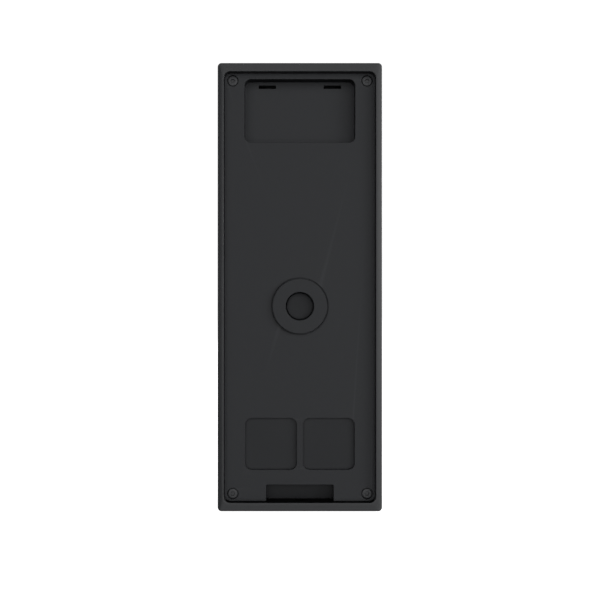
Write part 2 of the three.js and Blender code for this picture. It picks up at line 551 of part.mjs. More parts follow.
function infraredLed() {
  const yRear = Y_IR_BOARD_FRONT - SEAT;
  const yRim = Y_FRONT + IR_LED.sink + IR_LED.radius;
  return turned([...dome(IR_LED.radius, yRim, IR_LED.radius), [IR_LED.radius, yRear], [0, yRear]]);
}

function addCamera(parent) {
  const group = new THREE.Group();
  group.position.z = CAMERA_Z;
  parent.add(group);
  piece(group, "lens_trim_ring", lensTrim(), MATERIAL.casing);
  piece(group, "lens_window", lensWindow(), MATERIAL.glass);
  piece(group, "lens_barrel", lensBarrel(), MATERIAL.lensBlack);
  piece(group, "lens_element", lensElement(), MATERIAL.glass);
  piece(group, "lens_holder", lensHolder(), MATERIAL.lensBlack);
  const ySensorRear = Y_CAMERA_BOARD_FRONT - SEAT;
  const sensor = block(SENSOR.width, SENSOR.height, ySensorRear, ySensorRear - SENSOR.thickness);
  piece(group, "image_sensor", sensor, MATERIAL.chip);
  piece(group, "camera_board", cameraBoard(), MATERIAL.board);
  piece(group, "infrared_board", infraredBoard(), MATERIAL.board);
  CORNERS.forEach(([sx, sz], i) =>
    piece(group, `infrared_led_${i + 1}`, infraredLed(), MATERIAL.led, [sx * IR_LED_X, 0, sz * IR_LED.z]));
  [-1, 1].forEach((side, i) => {
    const size = { ...BOARD_SCREW, length: CAMERA_SCREW.length };
    const place = [side * CAMERA_SCREW_X, Y_CAMERA_BOARD_REAR + SEAT, 0];
    piece(group, `camera_screw_${i + 1}`, screw(size), MATERIAL.steel, place);
  });
  const yPipe = Y_IR_BOARD_FRONT - SEAT;
  piece(group, "light_pipe", rod(PIPE.radius, yPipe, Y_FRONT), MATERIAL.led, [0, 0, -PIPE.fromCamera]);
}

// ---------------------------------------------------------------- movement sensor and microphone

function pirLens() {
  const yFlangeFront = Y_PANEL_BACK + SEAT;
  const yFlangeRear = yFlangeFront + PIR.flangeDepth;
  const outside = join(
    turned([...dome(PIR.radius, Y_FRONT, PIR.dome), [PIR.radius, yFlangeRear], [0, yFlangeRear]]),
    rod(PIR.flange, yFlangeRear, yFlangeFront),
  );
  const inner = PIR.radius - PIR.wall;
  const yOpen = yFlangeRear + PAST;
  const hollow = turned([...dome(inner, Y_FRONT + PIR.wall, PIR.dome), [inner, yOpen], [0, yOpen]]);
  return cut(outside, hollow);
}

function addSensors(parent) {
  const yBoard = Y_BOARD_FRONT - SEAT;
  piece(parent, "movement_sensor_lens", pirLens(), MATERIAL.pir, [0, 0, PIR_Z]);
  const can = rod(PIR_CAN.radius, yBoard, yBoard - PIR_CAN.height);
  piece(parent, "movement_sensor", can, MATERIAL.steel, [0, 0, PIR_Z]);
  const microphone = block(MIC.width, MIC.height, yBoard, yBoard - MIC.thickness);
  piece(parent, "microphone", microphone, MATERIAL.steel, [0, 0, MIC_Z]);
  const boot = tube(MIC.boot, MIC.hole, yBoard - MIC.thickness - SEAT, Y_PANEL_BACK + SEAT);
  piece(parent, "microphone_boot", boot, MATERIAL.rubber, [0, 0, MIC_Z]);
}

// ---------------------------------------------------------------- bell button, about its own axis

function bellButton() {
  const yFlangeFront = Y_RING_LIP_REAR + SEAT;
  const yFlangeRear = yFlangeFront + BUTTON.lipDepth;
  const yInside = Y_BUTTON_FRONT + BUTTON.face;
  const cup = cut(
    rod(BUTTON.radius, yFlangeRear, Y_BUTTON_FRONT),
    rod(BUTTON.radius - BUTTON.wall, yFlangeRear + PAST, yInside),
  );
  const flange = tube(BUTTON_LIP, BUTTON.radius - BUTTON.wall, yFlangeRear, yFlangeFront);
  const post = rod(BUTTON.post, Y_STEM_FRONT - SEAT, yInside - BITE);
  const grooveFront = Y_BUTTON_FRONT + BUTTON_SEAL.behindFace;
  const groove = tube(BUTTON.radius + PAST, BUTTON.radius - BUTTON_SEAL.groove,
    grooveFront + 2 * (BUTTON_SEAL.section + SEAT / 2), grooveFront);
  return cut(join(cup, flange, post), groove);
}

function lightRing() {
  return join(
    tube(RING_RADIUS, RING_BORE, Y_RING_LIP_REAR, Y_FRONT),
    tube(RING_LIP, RING_BORE, Y_RING_LIP_REAR, Y_RING_LIP_FRONT),
  );
}

// A ring of round section lying round the button in its groove.
function buttonSeal() {
  const centre = Y_BUTTON_FRONT + BUTTON_SEAL.behindFace + BUTTON_SEAL.section + SEAT / 2;
  const middle = BUTTON.radius - BUTTON_SEAL.groove + BUTTON_SEAL.section + SEAT / 2;
  const geometry = new THREE.TorusGeometry(middle, BUTTON_SEAL.section, BUTTON_SEAL.sides, flats(middle));
  geometry.rotateX(Math.PI / 2);
  geometry.translate(0, centre, 0);
  return solidOf(geometry);
}

function addButton(parent) {
  const group = new THREE.Group();
  group.position.z = BUTTON_Z;
  parent.add(group);
  const yBoard = Y_BOARD_FRONT - SEAT;
  const ySwitchFront = yBoard - SWITCH.height;
  const wellDepth = SWITCH.stemDepth + BUTTON.travel - SLIP;
  const well = rod(SWITCH.stem + SLIP, ySwitchFront + wellDepth, ySwitchFront - PAST);
  const body = cut(block(SWITCH.size, SWITCH.size, yBoard, ySwitchFront), well);
  const stem = rod(SWITCH.stem, ySwitchFront + wellDepth - BUTTON.travel - SLIP / 2, Y_STEM_FRONT);
  piece(group, "bell_button", bellButton(), MATERIAL.gloss);
  piece(group, "button_seal", buttonSeal(), MATERIAL.rubber);
  piece(group, "button_light_ring", lightRing(), MATERIAL.diffuser);
  piece(group, "button_switch", body, MATERIAL.chip);
  piece(group, "button_switch_stem", stem, MATERIAL.brass);
  CORNERS.forEach(([sx, sz], i) => {
    const place = [sx * RING_LED_OUT, 0, sz * RING_LED_OUT];
    const led = block(RING_LED.size, RING_LED.size, yBoard, yBoard - RING_LED.height);
    piece(group, `ring_led_${i + 1}`, led, MATERIAL.led, place);
  });
}

// ---------------------------------------------------------------- loudspeaker, about its own axis

function addSpeaker(parent) {
  const group = new THREE.Group();
  group.position.z = SPEAKER_Z;
  parent.add(group);
  const yClothRear = Y_PANEL_BACK + SEAT + MESH_CLOTH.thickness;
  const ySealFront = yClothRear + SEAT;
  const ySealRear = ySealFront + SPEAKER_SEAL.thickness;
  const yFront = ySealRear + SEAT;
  const yRear = yFront + SPEAKER.depth;
  const chamber = rod(SPEAKER.radius - SPEAKER.wall, yRear - SPEAKER.wall, yFront - PAST);
  const frame = cut(
    join(rod(SPEAKER.radius, yRear, yFront), rod(SPEAKER.magnet, yRear + SPEAKER.magnetDepth, yRear - BITE)),
    chamber,
  );
  const coneRim = SPEAKER.radius - SPEAKER.wall - SLIP;
  const yRim = yFront + CONE.sink;
  const yHub = yRear - SPEAKER.wall - SEAT;
  const cone = turned([
    [0, yRim + CONE.hubCap],
    [CONE.hub, yRim + CONE.dip],
    [coneRim - CONE.surround, yRim],
    [coneRim, yRim],
    [coneRim, yRim + CONE.thickness],
    [coneRim - CONE.surround, yRim + CONE.thickness],
    [CONE.hub, yHub],
    [0, yHub],
  ]);
  piece(group, "speaker_frame", frame, MATERIAL.steel);
  piece(group, "speaker_cone", cone, MATERIAL.chip);
  piece(group, "speaker_seal",
    tube(SPEAKER.radius, SPEAKER.radius - SPEAKER_SEAL.width, ySealRear, ySealFront), MATERIAL.foam);
  piece(group, "speaker_cloth", rod(SPEAKER.radius, yClothRear, Y_PANEL_BACK + SEAT), MATERIAL.foam);
}

// ---------------------------------------------------------------- main board and what is on it

function mainBoard() {
  const height = BOARD_TOP - BOARD_BOTTOM;
  const outline = roundedRect(BOARD_WIDTH, height, BOARD.corner, 0, (BOARD_TOP + BOARD_BOTTOM) / 2);
  const board = slab(outline, Y_BOARD_REAR, Y_BOARD_FRONT);
  const [yRear, yFront] = [Y_BOARD_REAR + PAST, Y_BOARD_FRONT - PAST];
  const holes = BOARD_SCREW_PLACES.map(([x, z]) => rod(BOARD_SCREW.shank + SLIP, yRear, yFront, x, z));
  return cut(board, rod(SPEAKER.radius + 3 * SLIP, yRear, yFront, 0, SPEAKER_Z), ...holes);
}

// A charging socket that opens downwards, with its tongue.
function chargePort() {
  const { width, height, wall, length, tongue, tongueBack, tongueInset } = PORT;
  const shell = extruded(roundedRect(width, height, height / 2), length);
  const inside = roundedRect(width - 2 * wall, height - 2 * wall, height / 2 - wall);
  const bore = extruded(inside, length - wall + PAST);
  bore.translate(0, 0, -PAST);
  const tongueLength = length - tongueBack - wall / 2;
  const blade = new THREE.BoxGeometry(width - 2 * tongueInset, tongue, tongueLength);
  blade.translate(0, 0, tongueBack + tongueLength / 2);
  return join(cut(solidOf(shell), solidOf(bore)), solidOf(blade));
}

function portCover() {
  const lid = extruded(roundedRect(COVER.width, COVER.height, COVER.height / 2), COVER.thickness);
  const [w, h] = [PORT_HOLE.width - 2 * SLIP, PORT_HOLE.height - 2 * SLIP];
  const plug = extruded(roundedRect(w, h, h / 2), COVER.plugLength + BITE);
  plug.translate(0, 0, COVER.thickness - BITE);
  return join(solidOf(lid), solidOf(plug));
}

function addBoard(parent) {
  const yFront = Y_BOARD_FRONT - SEAT;
  piece(parent, "main_board", mainBoard(), MATERIAL.board);
  const chipZ = PIR_Z - CHIPS_BELOW_PIR;
  const { width, height, thickness, skin } = SHIELD;
  const shield = cut(
    block(width, height, yFront, yFront - thickness),
    block(width - 2 * skin, height - 2 * skin, yFront + PAST, yFront - thickness + skin),
  );
  piece(parent, "processor_shield", shield, MATERIAL.steel, [SHIELD.x, 0, chipZ]);
  const radio = block(RADIO.width, RADIO.height, yFront, yFront - RADIO.thickness);
  piece(parent, "radio_module", radio, MATERIAL.steel, [RADIO.x, 0, chipZ]);
  const yAntenna = Y_PANEL_BACK + SEAT;
  const antennaWidth = 2 * (IR_LED_X - ANTENNA.fromLed);
  const antenna = block(antennaWidth, ANTENNA.height, yAntenna + ANTENNA.thickness, yAntenna);
  const antennaZ = RECESS_TOP - ANTENNA.fromTop;
  piece(parent, "radio_antenna", antenna, MATERIAL.brass, [0, 0, antennaZ]);
  BOARD_SCREW_PLACES.forEach(([x, z], i) => {
    const seat = i < 2 ? TRAY.floor + SEAT : 0; // the upper two also hold the tray's ears
    const length = BOARD.thickness + seat + BOARD.behindPanel - BOARD_SCREW.tipGap;
    const place = [x, Y_BOARD_REAR + seat + SEAT, z];
    piece(parent, `board_screw_${i + 1}`, screw({ ...BOARD_SCREW, length }), MATERIAL.steel, place);
  });
  const portPlace = [0, PORT_Y, BOTTOM + RIM.end + SEAT];
  piece(parent, "charge_port", chargePort(), MATERIAL.steel, portPlace);
  piece(parent, "charge_port_cover", portCover(), MATERIAL.rubber, [0, PORT_Y, BOTTOM]);
}

// ---------------------------------------------------------------- battery

function addBattery(parent) {
  const gapWidth = BATTERY_WIDTH + 2 * SLIP;
  const gapHeight = BATTERY_HEIGHT + 2 * SLIP;
  const { wall, floor, height, earWidth, earHeight, earRise } = TRAY;
  const outline = roundedRect(gapWidth + 2 * wall, gapHeight + 2 * wall, BATTERY.corner + wall, 0, BATTERY_Z);
  const inside = roundedRect(gapWidth, gapHeight, BATTERY.corner, 0, BATTERY_Z);
  const yFloorRear = Y_TRAY_FRONT + floor;
  const yTrayRear = Y_TRAY_FRONT + height;
  const outer = slab(outline, yTrayRear, Y_TRAY_FRONT);
  const room = slab(inside, yTrayRear + PAST, yFloorRear);
  const ears = BOARD_SCREW_PLACES.slice(0, 2).map(([x, z]) =>
    block(earWidth, earHeight, yFloorRear, Y_TRAY_FRONT, x, z + earRise));
  const earHoles = BOARD_SCREW_PLACES.slice(0, 2).map(([x, z]) =>
    rod(BOARD_SCREW.shank + SLIP, yFloorRear + PAST, Y_TRAY_FRONT - PAST, x, z));
  piece(parent, "battery_tray", cut(join(outer, ...ears), room, ...earHoles), MATERIAL.tray);
  const cellOutline = roundedRect(BATTERY_WIDTH, BATTERY_HEIGHT, BATTERY.corner, 0, BATTERY_Z);
  const cell = slab(cellOutline, Y_CELL_REAR, Y_CELL_FRONT);
  piece(parent, "battery_pack", cell, MATERIAL.battery);
  const [padWidth, padHeight] = [BATTERY.padShare * BATTERY_WIDTH, BATTERY.padShare * BATTERY_HEIGHT];
  const pad = block(padWidth, padHeight, Y_PLATE_INSIDE - SEAT, Y_CELL_REAR + SEAT, 0, BATTERY_Z);
  piece(parent, "battery_pad", pad, MATERIAL.foam);
  const yPlug = Y_BOARD_REAR + SEAT;
  const plug = block(PLUG.width, PLUG.height, yPlug + PLUG.depth, yPlug);
  piece(parent, "battery_plug", plug, MATERIAL.diffuser, [PLUG.x, 0, PLUG_Z]);
  const leadStart = BATTERY_BOTTOM - SEAT;
  const leadEnd = PLUG_Z + PLUG.height / 2 + SEAT;
  const yStart = Y_CELL_REAR - LEAD.fromRear;
  const yEnd = yPlug + PLUG.depth / 2;
  const route = new THREE.CubicBezierCurve3(
    new THREE.Vector3(PLUG.x, yStart, leadStart),
    new THREE.Vector3(PLUG.x, yStart, leadEnd),
    new THREE.Vector3(PLUG.x, yEnd, leadStart),
    new THREE.Vector3(PLUG.x, yEnd, leadEnd),
  );
  piece(parent, "battery_lead", sweptTube(route, LEAD.radius, LEAD.sides, LEAD.steps), MATERIAL.lead);
}

// A round-section tube along a curve, with closed ends.
function sweptTube(curve, radius, sides, steps) {
  const section = new THREE.Shape();
  for (let i = 0; i < sides; i++) {
    const angle = (i / sides) * 2 * Math.PI;
    section[i ? "lineTo" : "moveTo"](radius * Math.cos(angle), radius * Math.sin(angle));
  }
  return solidOf(new THREE.ExtrudeGeometry(section, { steps, extrudePath: curve, bevelEnabled: false }));
}

// ---------------------------------------------------------------- tamper plunger, about its own axis

class Coil extends THREE.Curve {
  constructor(radius, yRear, yFront, turns) {
    super();
    Object.assign(this, { radius, yRear, yFront, turns });
  }
  getPoint(t, target = new THREE.Vector3()) {
    const angle = t * this.turns * 2 * Math.PI;
    const y = this.yRear + (this.yFront - this.yRear) * t;
    return target.set(this.radius * Math.cos(angle), y, this.radius * Math.sin(angle));
  }
}

function addTamperSwitch(parent) {
  const group = new THREE.Group();
  group.position.z = COLLAR_Z;
  parent.add(group);
  const yHeadRear = Y_PLATE + COLLAR.rise - PLUNGER.belowCollar;
  const yFlangeRear = Y_PLATE_INSIDE - SEAT;
  const yFlangeFront = yFlangeRear - PLUNGER.lipDepth;
  const ySwitchFront = Y_BOARD_REAR + SEAT;
  const ySwitchRear = ySwitchFront + TAMPER_SWITCH.height;
  const plunger = join(
    rod(PLUNGER_RADIUS, yHeadRear, yFlangeFront + BITE),
    rod(PLUNGER_LIP, yFlangeRear, yFlangeFront),
    rod(PLUNGER.stem, yFlangeFront + BITE, ySwitchRear + SEAT),
  );
  piece(group, "tamper_plunger", plunger, MATERIAL.plate);
  const well = rod(PLUNGER.stem + SLIP, ySwitchRear + PAST, ySwitchRear - PLUNGER.travel - 2 * SEAT);
  const body = cut(block(TAMPER_SWITCH.size, TAMPER_SWITCH.size, ySwitchRear, ySwitchFront), well);
  piece(group, "tamper_switch", body, MATERIAL.chip);
  const margin = SPRING.wire + SEAT;
  const coil = new Coil(SPRING.radius, yFlangeFront - margin, ySwitchRear + margin, SPRING.turns);
  const spring = sweptTube(coil, SPRING.wire, SPRING.sides, SPRING.turns * SPRING.stepsPerTurn);
  piece(group, "tamper_spring", spring, MATERIAL.steel);
}

// ---------------------------------------------------------------- the assembly

const doorbell = new THREE.Group();
piece(doorbell, "casing", casing(), MATERIAL.casing);
piece(doorbell, "rear_plate", rearPlate(), MATERIAL.plate);
piece(doorbell, "rear_plate_seal", plateSeal(), MATERIAL.rubber);
CORNERS.forEach(([sx, sz], i) => {
  const place = [sx * SCREW_X, Y_PLATE - COUNTERBORE.depth + SEAT, sz * SCREW_Z];
  piece(doorbell, `plate_screw_${i + 1}`, screw(PLATE_SCREW), MATERIAL.screw, place);
});
piece(doorbell, "front_panel", frontPanel(), MATERIAL.gloss);
piece(doorbell, "front_panel_seal", frontSeal(), MATERIAL.rubber);
addCamera(doorbell);
addSensors(doorbell);
addButton(doorbell);
addSpeaker(doorbell);
addBoard(doorbell);
addBattery(doorbell);
addTamperSwitch(doorbell);

export default doorbell;
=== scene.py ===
"""Looks of the video doorbell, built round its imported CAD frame.

Metres, +Z up, the wall side facing +Y and the street side -Y. Shapes are drawn in millimetres and scaled as
they become meshes. Places come from the boxes of the CAD nodes. The dimensions below repeat those of the CAD
model, except for the fall of the rim, the plate's gap, its screws and the groove round its collar.
"""

import json
import math

import bmesh
import bpy
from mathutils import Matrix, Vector
from mathutils.geometry import tessellate_polygon


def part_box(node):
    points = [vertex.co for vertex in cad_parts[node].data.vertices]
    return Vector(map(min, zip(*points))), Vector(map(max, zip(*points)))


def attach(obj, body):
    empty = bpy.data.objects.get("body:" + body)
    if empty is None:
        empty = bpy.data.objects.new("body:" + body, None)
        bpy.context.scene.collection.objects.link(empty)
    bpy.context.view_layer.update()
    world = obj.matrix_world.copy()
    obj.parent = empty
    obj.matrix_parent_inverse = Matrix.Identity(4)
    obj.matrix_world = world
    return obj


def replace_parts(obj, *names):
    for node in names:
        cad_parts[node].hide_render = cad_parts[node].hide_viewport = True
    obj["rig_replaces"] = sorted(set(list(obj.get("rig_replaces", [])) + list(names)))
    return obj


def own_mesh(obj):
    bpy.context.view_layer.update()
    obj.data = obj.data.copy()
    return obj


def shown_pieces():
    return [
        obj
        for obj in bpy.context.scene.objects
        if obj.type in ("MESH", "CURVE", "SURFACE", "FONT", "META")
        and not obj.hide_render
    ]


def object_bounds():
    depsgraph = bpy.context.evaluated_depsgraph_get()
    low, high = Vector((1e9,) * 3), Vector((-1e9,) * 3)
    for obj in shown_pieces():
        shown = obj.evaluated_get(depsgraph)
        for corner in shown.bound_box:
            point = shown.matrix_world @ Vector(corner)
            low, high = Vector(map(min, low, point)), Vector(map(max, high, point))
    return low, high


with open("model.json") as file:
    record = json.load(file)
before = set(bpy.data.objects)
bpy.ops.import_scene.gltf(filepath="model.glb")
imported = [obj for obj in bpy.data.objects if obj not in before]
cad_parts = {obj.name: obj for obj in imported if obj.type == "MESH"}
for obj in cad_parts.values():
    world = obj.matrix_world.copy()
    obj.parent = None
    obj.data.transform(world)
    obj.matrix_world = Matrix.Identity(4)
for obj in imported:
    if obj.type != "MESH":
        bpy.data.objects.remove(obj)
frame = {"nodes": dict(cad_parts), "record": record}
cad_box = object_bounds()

MM = 0.001
CORNER_STEPS = 8  # flats round a quarter turn of a corner
ROUND_STEPS = 4  # flats across a rounded edge
FLAT = 0.12  # a level band beside a rounded edge, which keeps a flat face's shading flat
CIRCLE_SIDES = 72
SCREW_SIDES = 60
SMALL_SIDES = 40
SMALL_RADIUS = 3  # a round piece up to this size is drawn with the smaller number of sides
SHARP_ANGLE = math.radians(32)  # edges that turn more than this stay sharp
FLAT_ANGLE = math.radians(1)  # faces that turn less than this are merged
SAME_POINT = 1e-6  # profile points nearer than this are one
WELD = 0.001 * MM  # mesh vertices nearer than this are one

RECORD = frame["record"]


def box_mm(node):
    """The lowest and highest corners of a CAD node, in millimetres."""
    low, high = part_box(node)
    return low / MM, high / MM


def centre_of(node):
    low, high = box_mm(node)
    return (low + high) / 2


# ---------- dimensions

casing_low, casing_high = box_mm("casing")
plate_low, plate_high = box_mm("rear_plate")

BODY_WIDTH = casing_high.x - casing_low.x
BODY_HEIGHT = casing_high.z - casing_low.z
BODY_CORNER = 1.2
BOTTOM = casing_low.z
Y_CASING_FRONT = casing_low.y
RIM_SIDE, RIM_END, RIM_CORNER = 2.0, 2.7, 2.0
RIM_RIDGE = 0.92  # where the rim stands highest, as a share of the way in from its outer edge
RIM_FALL = {"outer": 0.42, "ends": 0.10, "inner": 0.03}  # how far the rim's edges lie below its ridge
RIM_BEND = 1.3  # more than 1 makes the rim steeper towards its outer edge
RIM_STEPS = 10
RIM_ROUND = 0.32
CASING_EDGE = 0.12
BOTTOM_HOLE_EDGE = 0.2
RECESS_WIDTH = BODY_WIDTH - 2 * RIM_SIDE
RECESS_HEIGHT = BODY_HEIGHT - 2 * RIM_END
FLOOR = BOTTOM + RIM_END  # the top of the casing's bottom wall

Y_PLATE = -3.0
Y_PLATE_INSIDE = -5.4
Y_SKIRT_END = plate_low.y
PLATE_WIDTH = plate_high.x - plate_low.x
PLATE_HEIGHT = plate_high.z - plate_low.z
PLATE_CORNER = 1.8
PLATE_GAP = 0.03  # what shows of the slip between the plate and the casing
PLATE_EDGE = 0.1  # radius of the plate's edges
POCKET = {"width": 35.6, "height": 20.4, "z": 56.7, "corner": 2.0, "floor": -7.8, "fillet": 0.3, "wall": 1.5}
POCKET_TOP_WALL = 0.5  # from the top of the plate's skirt to the block that the pocket is sunk in
HOOK_SLOT = {"width": 5.6, "height": 1.05, "corner": 0.15, "edge": 0.06, "x": 10.6, "z": 65.3}
PAD_SEAT = {"size": 16.6, "x": 9.3, "z": -50.4, "corner": 2.1, "floor": -4.4, "edge": 0.12, "fillet": 0.06}
NOTCH = {"width": 21.7, "top": -63.5, "corner": 0.5, "floor": -7.7, "wall": 1.5}
COUNTERBORE = {"radius": 1.80, "floor": -4.3, "hole": 1.2, "edge": 0.12, "fillet": 0.1}
COLLAR = {"outer": 8.8, "bore": 4.5, "top": -1.4, "edge": 0.22, "groove": 0.35, "groove_edge": 0.08}
GUIDE = {"bore": 5.7, "wall": 0.9, "depth": 3.0}
SKIRT = 1.4
POST = {"radius": 2.2, "hole": 1.2, "length": 8.5, "slip": 0.1}
POST_STEP = {"x": 4.85, "z": 4.6}  # how far the plate's skirt steps in round a corner post
LEDGE = {"rear": -10.3, "front": -12.3, "inset": 2.0, "bite": 0.5}
PLUNGER = {"head": 4.25, "stem": 1.4, "crown": 0.04, "flat": 2.6, "edge": 0.22, "lip": 1.0, "slip": 0.1}
PLATE_SCREW = {"head": 1.66, "height": 1.0, "crown": 0.08, "edge": 0.25, "neck": 0.8, "shank": 1.0,
               "tip": 0.25}
THREAD = {"pitch": 0.4, "root": 0.76, "start": 0.3, "run_out": 0.6}
SOCKET = {"radius": 0.78, "lobe": 0.2, "lobes": 6, "rim": 1.05, "edge": 0.03, "depth": 0.55, "taper": 0.08,
          "floor": 0.07}

LOCK_HOLE = {"radius": 1.7, "y": -5.35}
PORT_HOLE = {"width": 9.8, "height": 4.0}
COVER_SEAT = {"width": 16.0, "height": 7.0, "depth": 1.0}

Y_PANEL_BACK = -25.8
Y_FRONT = -28.0
PANEL_EDGE = 0.45
PANEL_BACK_EDGE = 0.1
PANEL_SKIRT = {"width": 1.2, "depth": 3.0}
LENS_SEAT = {"barrel": 6.7, "trim": 11.6, "sill": -26.8, "edge": 0.1, "mouth_edge": 0.12}
PANEL_HOLES = {"infrared_led": 1.7, "light_pipe": 1.2, "movement_sensor": 6.1, "microphone": 0.6,
               "button": 14.0}
SPEAKER_SLOT = {"width": 1.2, "height": 11, "spacing": 2.8, "edge": 0.15}
BOSS = {"hole": 1.05, "radius": 2.2, "slip": 0.1}

screw_x = centre_of("plate_screw_2").x
screw_z = centre_of("plate_screw_2").z
collar_z = centre_of("tamper_plunger").z
camera_z = centre_of("lens_window").z
button_z = centre_of("bell_button").z
speaker_z = centre_of("speaker_cone").z
CORNERS = ((-1, 1), (1, 1), (-1, -1), (1, -1))


# ---------- outlines


def rounded_rect(width, height, radius, x=0.0, z=0.0):
    """A loop of (x, z), anticlockwise with x to the right. It starts at the right end of its bottom side."""
    loop = []
    for sx, sz, start in ((1, -1, -90), (1, 1, 0), (-1, 1, 90), (-1, -1, 180)):
        cx, cz = x + sx * (width / 2 - radius), z + sz * (height / 2 - radius)
        for i in range(CORNER_STEPS + 1):
            turn = math.radians(start + 90 * i / CORNER_STEPS)
            loop.append((cx + radius * math.cos(turn), cz + radius * math.sin(turn)))
    return loop


def circle(radius, x=0.0, z=0.0, sides=CIRCLE_SIDES):
    turns = [2 * math.pi * i / sides for i in range(sides)]
    return [(x + radius * math.cos(t), z + radius * math.sin(t)) for t in turns]


def star(radius, depth, lobes, x, z):
    """The outline of a lobed screw socket."""
    loop = []
    for i in range(SCREW_SIDES):
        turn = 2 * math.pi * i / SCREW_SIDES
        r = radius - depth * (0.5 - 0.5 * math.cos(lobes * turn))
        loop.append((x + r * math.cos(turn), z + r * math.sin(turn)))
    return loop


def inset(loop, distance):
    """The loop moved inwards by a distance, with as many points."""
    moved = []
    for i, (x, z) in enumerate(loop):
        px, pz = loop[i - 1]
        nx, nz = loop[(i + 1) % len(loop)]
        a = Vector((pz - z, x - px)).normalized()
        b = Vector((z - nz, nx - x)).normalized()
        step = (a + b) * (distance / (1 + a.dot(b)))
        moved.append((x + step.x, z + step.y))
    return moved


def between(first, second, share):
    return [
        (x0 + (x1 - x0) * share, z0 + (z1 - z0) * share)
        for (x0, z0), (x1, z1) in zip(first, second)
    ]


def softened(points):
    """A profile of (a, b) points. A point with a third number has its corner rounded by that radius."""
    made = []
    for i, point in enumerate(points):
        here = Vector(point[:2])
        if len(point) < 3:
            made.append(tuple(here))
            continue
        start = here + (Vector(points[i - 1][:2]) - here).normalized() * point[2]
        end = here + (Vector(points[(i + 1) % len(points)][:2]) - here).normalized() * point[2]
        middle = start + end - here
        for k in range(ROUND_STEPS + 1):
            turn = math.pi / 2 * k / ROUND_STEPS
            made.append(tuple(middle + (start - middle) * math.cos(turn) + (end - middle) * math.sin(turn)))
    return [p for i, p in enumerate(made) if i == 0 or math.dist(p, made[i - 1]) > SAME_POINT]


# ---------- meshes


class Shape:
    """A mesh under construction. Loops are laid across Y, or across Z where upright is true."""

    def __init__(self, upright=False):
        self.mesh = bmesh.new()
        self.upright = upright

    def vertex(self, u, v, level):
        place = (u, v, level) if self.upright else (u, level, v)
        return self.mesh.verts.new(Vector(place) * MM)

    def across(self, upright):
        """The same mesh, with the loops to come laid across Z if upright is true, or else across Y."""
        self.upright = upright
        return self

    def ring(self, loop, level):
        return [self.vertex(u, v, level) for u, v in loop]

    def face(self, *vertices):
        self.mesh.faces.new(vertices)

    def strip(self, first, second, skip=()):
        """Joins two rings, leaving out the sides that start at the points in skip."""
        count = len(first)
        for i in range(count):
            if i not in skip:
                k = (i + 1) % count
                self.face(first[i], first[k], second[k], second[i])

    def strips(self, rings):
        for first, second in zip(rings, rings[1:]):
            self.strip(first, second)

    def fill(self, outer, *holes):
        """A flat face inside a ring and round some holes."""
        rings = [outer, *holes]
        flat = [v for ring in rings for v in ring]
        for triangle in tessellate_polygon([[v.co / MM for v in ring] for ring in rings]):
            self.face(*[flat[i] for i in triangle])

    def loft(self, loop, profile):
        """Rings of the loop, each inset and at a level as the profile says, joined by strips."""
        rings = [self.ring(inset(loop, d), level) for d, level in profile]
        self.strips(rings)
        return rings

    def prism(self, loop, high, low, edge=0.0):
        """A closed upright block on a loop, with its edges rounded."""
        profile = [(edge, high), (0, high, edge), (0, low, edge), (edge, low)]
        rings = self.loft(loop, softened(profile) if edge else [(0, high), (0, low)])
        self.fill(rings[0])
        self.fill(rings[-1])

    def surround(self, outer, inner, high, low):
        """A closed ring between two outlines."""
        top, bottom = [[self.ring(loop, level) for loop in (outer, inner)] for level in (high, low)]
        self.strip(top[0], bottom[0])
        self.strip(top[1], bottom[1])
        self.fill(*top)
        self.fill(*bottom)

    def turned(self, profile, x=0.0, z=0.0, sides=CIRCLE_SIDES):
        """A closed turned shape from (radius, level) points: from axis to axis, or a closed section."""
        rings = []
        for radius, level in profile:
            if radius < SAME_POINT:
                rings.append(self.vertex(x, z, level))
            else:
                rings.append(self.ring(circle(radius, x, z, sides), level))
        solid = not isinstance(rings[0], list)
        for first, second in zip(rings, rings[1:] if solid else rings[1:] + rings[:1]):
            if isinstance(first, list) and isinstance(second, list):
                self.strip(first, second)
            else:
                pole, ring = (second, first) if isinstance(first, list) else (first, second)
                for i in range(sides):
                    self.face(pole, ring[i], ring[(i + 1) % sides])

    def finished(self, name):
        bmesh.ops.recalc_face_normals(self.mesh, faces=self.mesh.faces)
        for edge in self.mesh.edges:
            edge.smooth = len(edge.link_faces) != 2 or edge.calc_face_angle(0) < SHARP_ANGLE
        for face in self.mesh.faces:
            face.smooth = True
        data = bpy.data.meshes.new(name)
        self.mesh.to_mesh(data)
        self.mesh.free()
        return data


SLOT_OF = {part["node"]: part["material_slot"] for part in RECORD["subparts"]}
BODY_OF = {node: body for body, nodes in RECORD["behaviour"]["bodies"].items() for node in nodes}


def piece(node, shape):
    """Puts a finished shape in the scene in place of a CAD node."""
    name = f"{node}_look"
    made = bpy.data.objects.new(name, shape.finished(name))
    bpy.context.scene.collection.objects.link(made)
    made.data.materials.append(MATERIAL_OF[SLOT_OF[node]])
    even = made.modifiers.new("even_shading", "WEIGHTED_NORMAL")
    even.keep_sharp = True
    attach(made, BODY_OF[node])
    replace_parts(made, node)
    return made


def refined(node, edge):
    """A CAD node's own shape with its flats merged and its edges broken by a width."""
    shape = Shape()
    shape.mesh.from_mesh(frame["nodes"][node].data)
    bmesh.ops.remove_doubles(shape.mesh, verts=shape.mesh.verts, dist=WELD)
    bmesh.ops.dissolve_limit(
        shape.mesh, angle_limit=FLAT_ANGLE, verts=shape.mesh.verts, edges=shape.mesh.edges
    )
    if edge:
        corners = [e for e in shape.mesh.edges if e.calc_face_angle(0) > SHARP_ANGLE]
        bmesh.ops.bevel(
            shape.mesh, geom=corners, offset=edge * MM, segments=2, profile=0.5,
            affect="EDGES", clamp_overlap=True,
        )
    return piece(node, shape)


# ---------- finishes

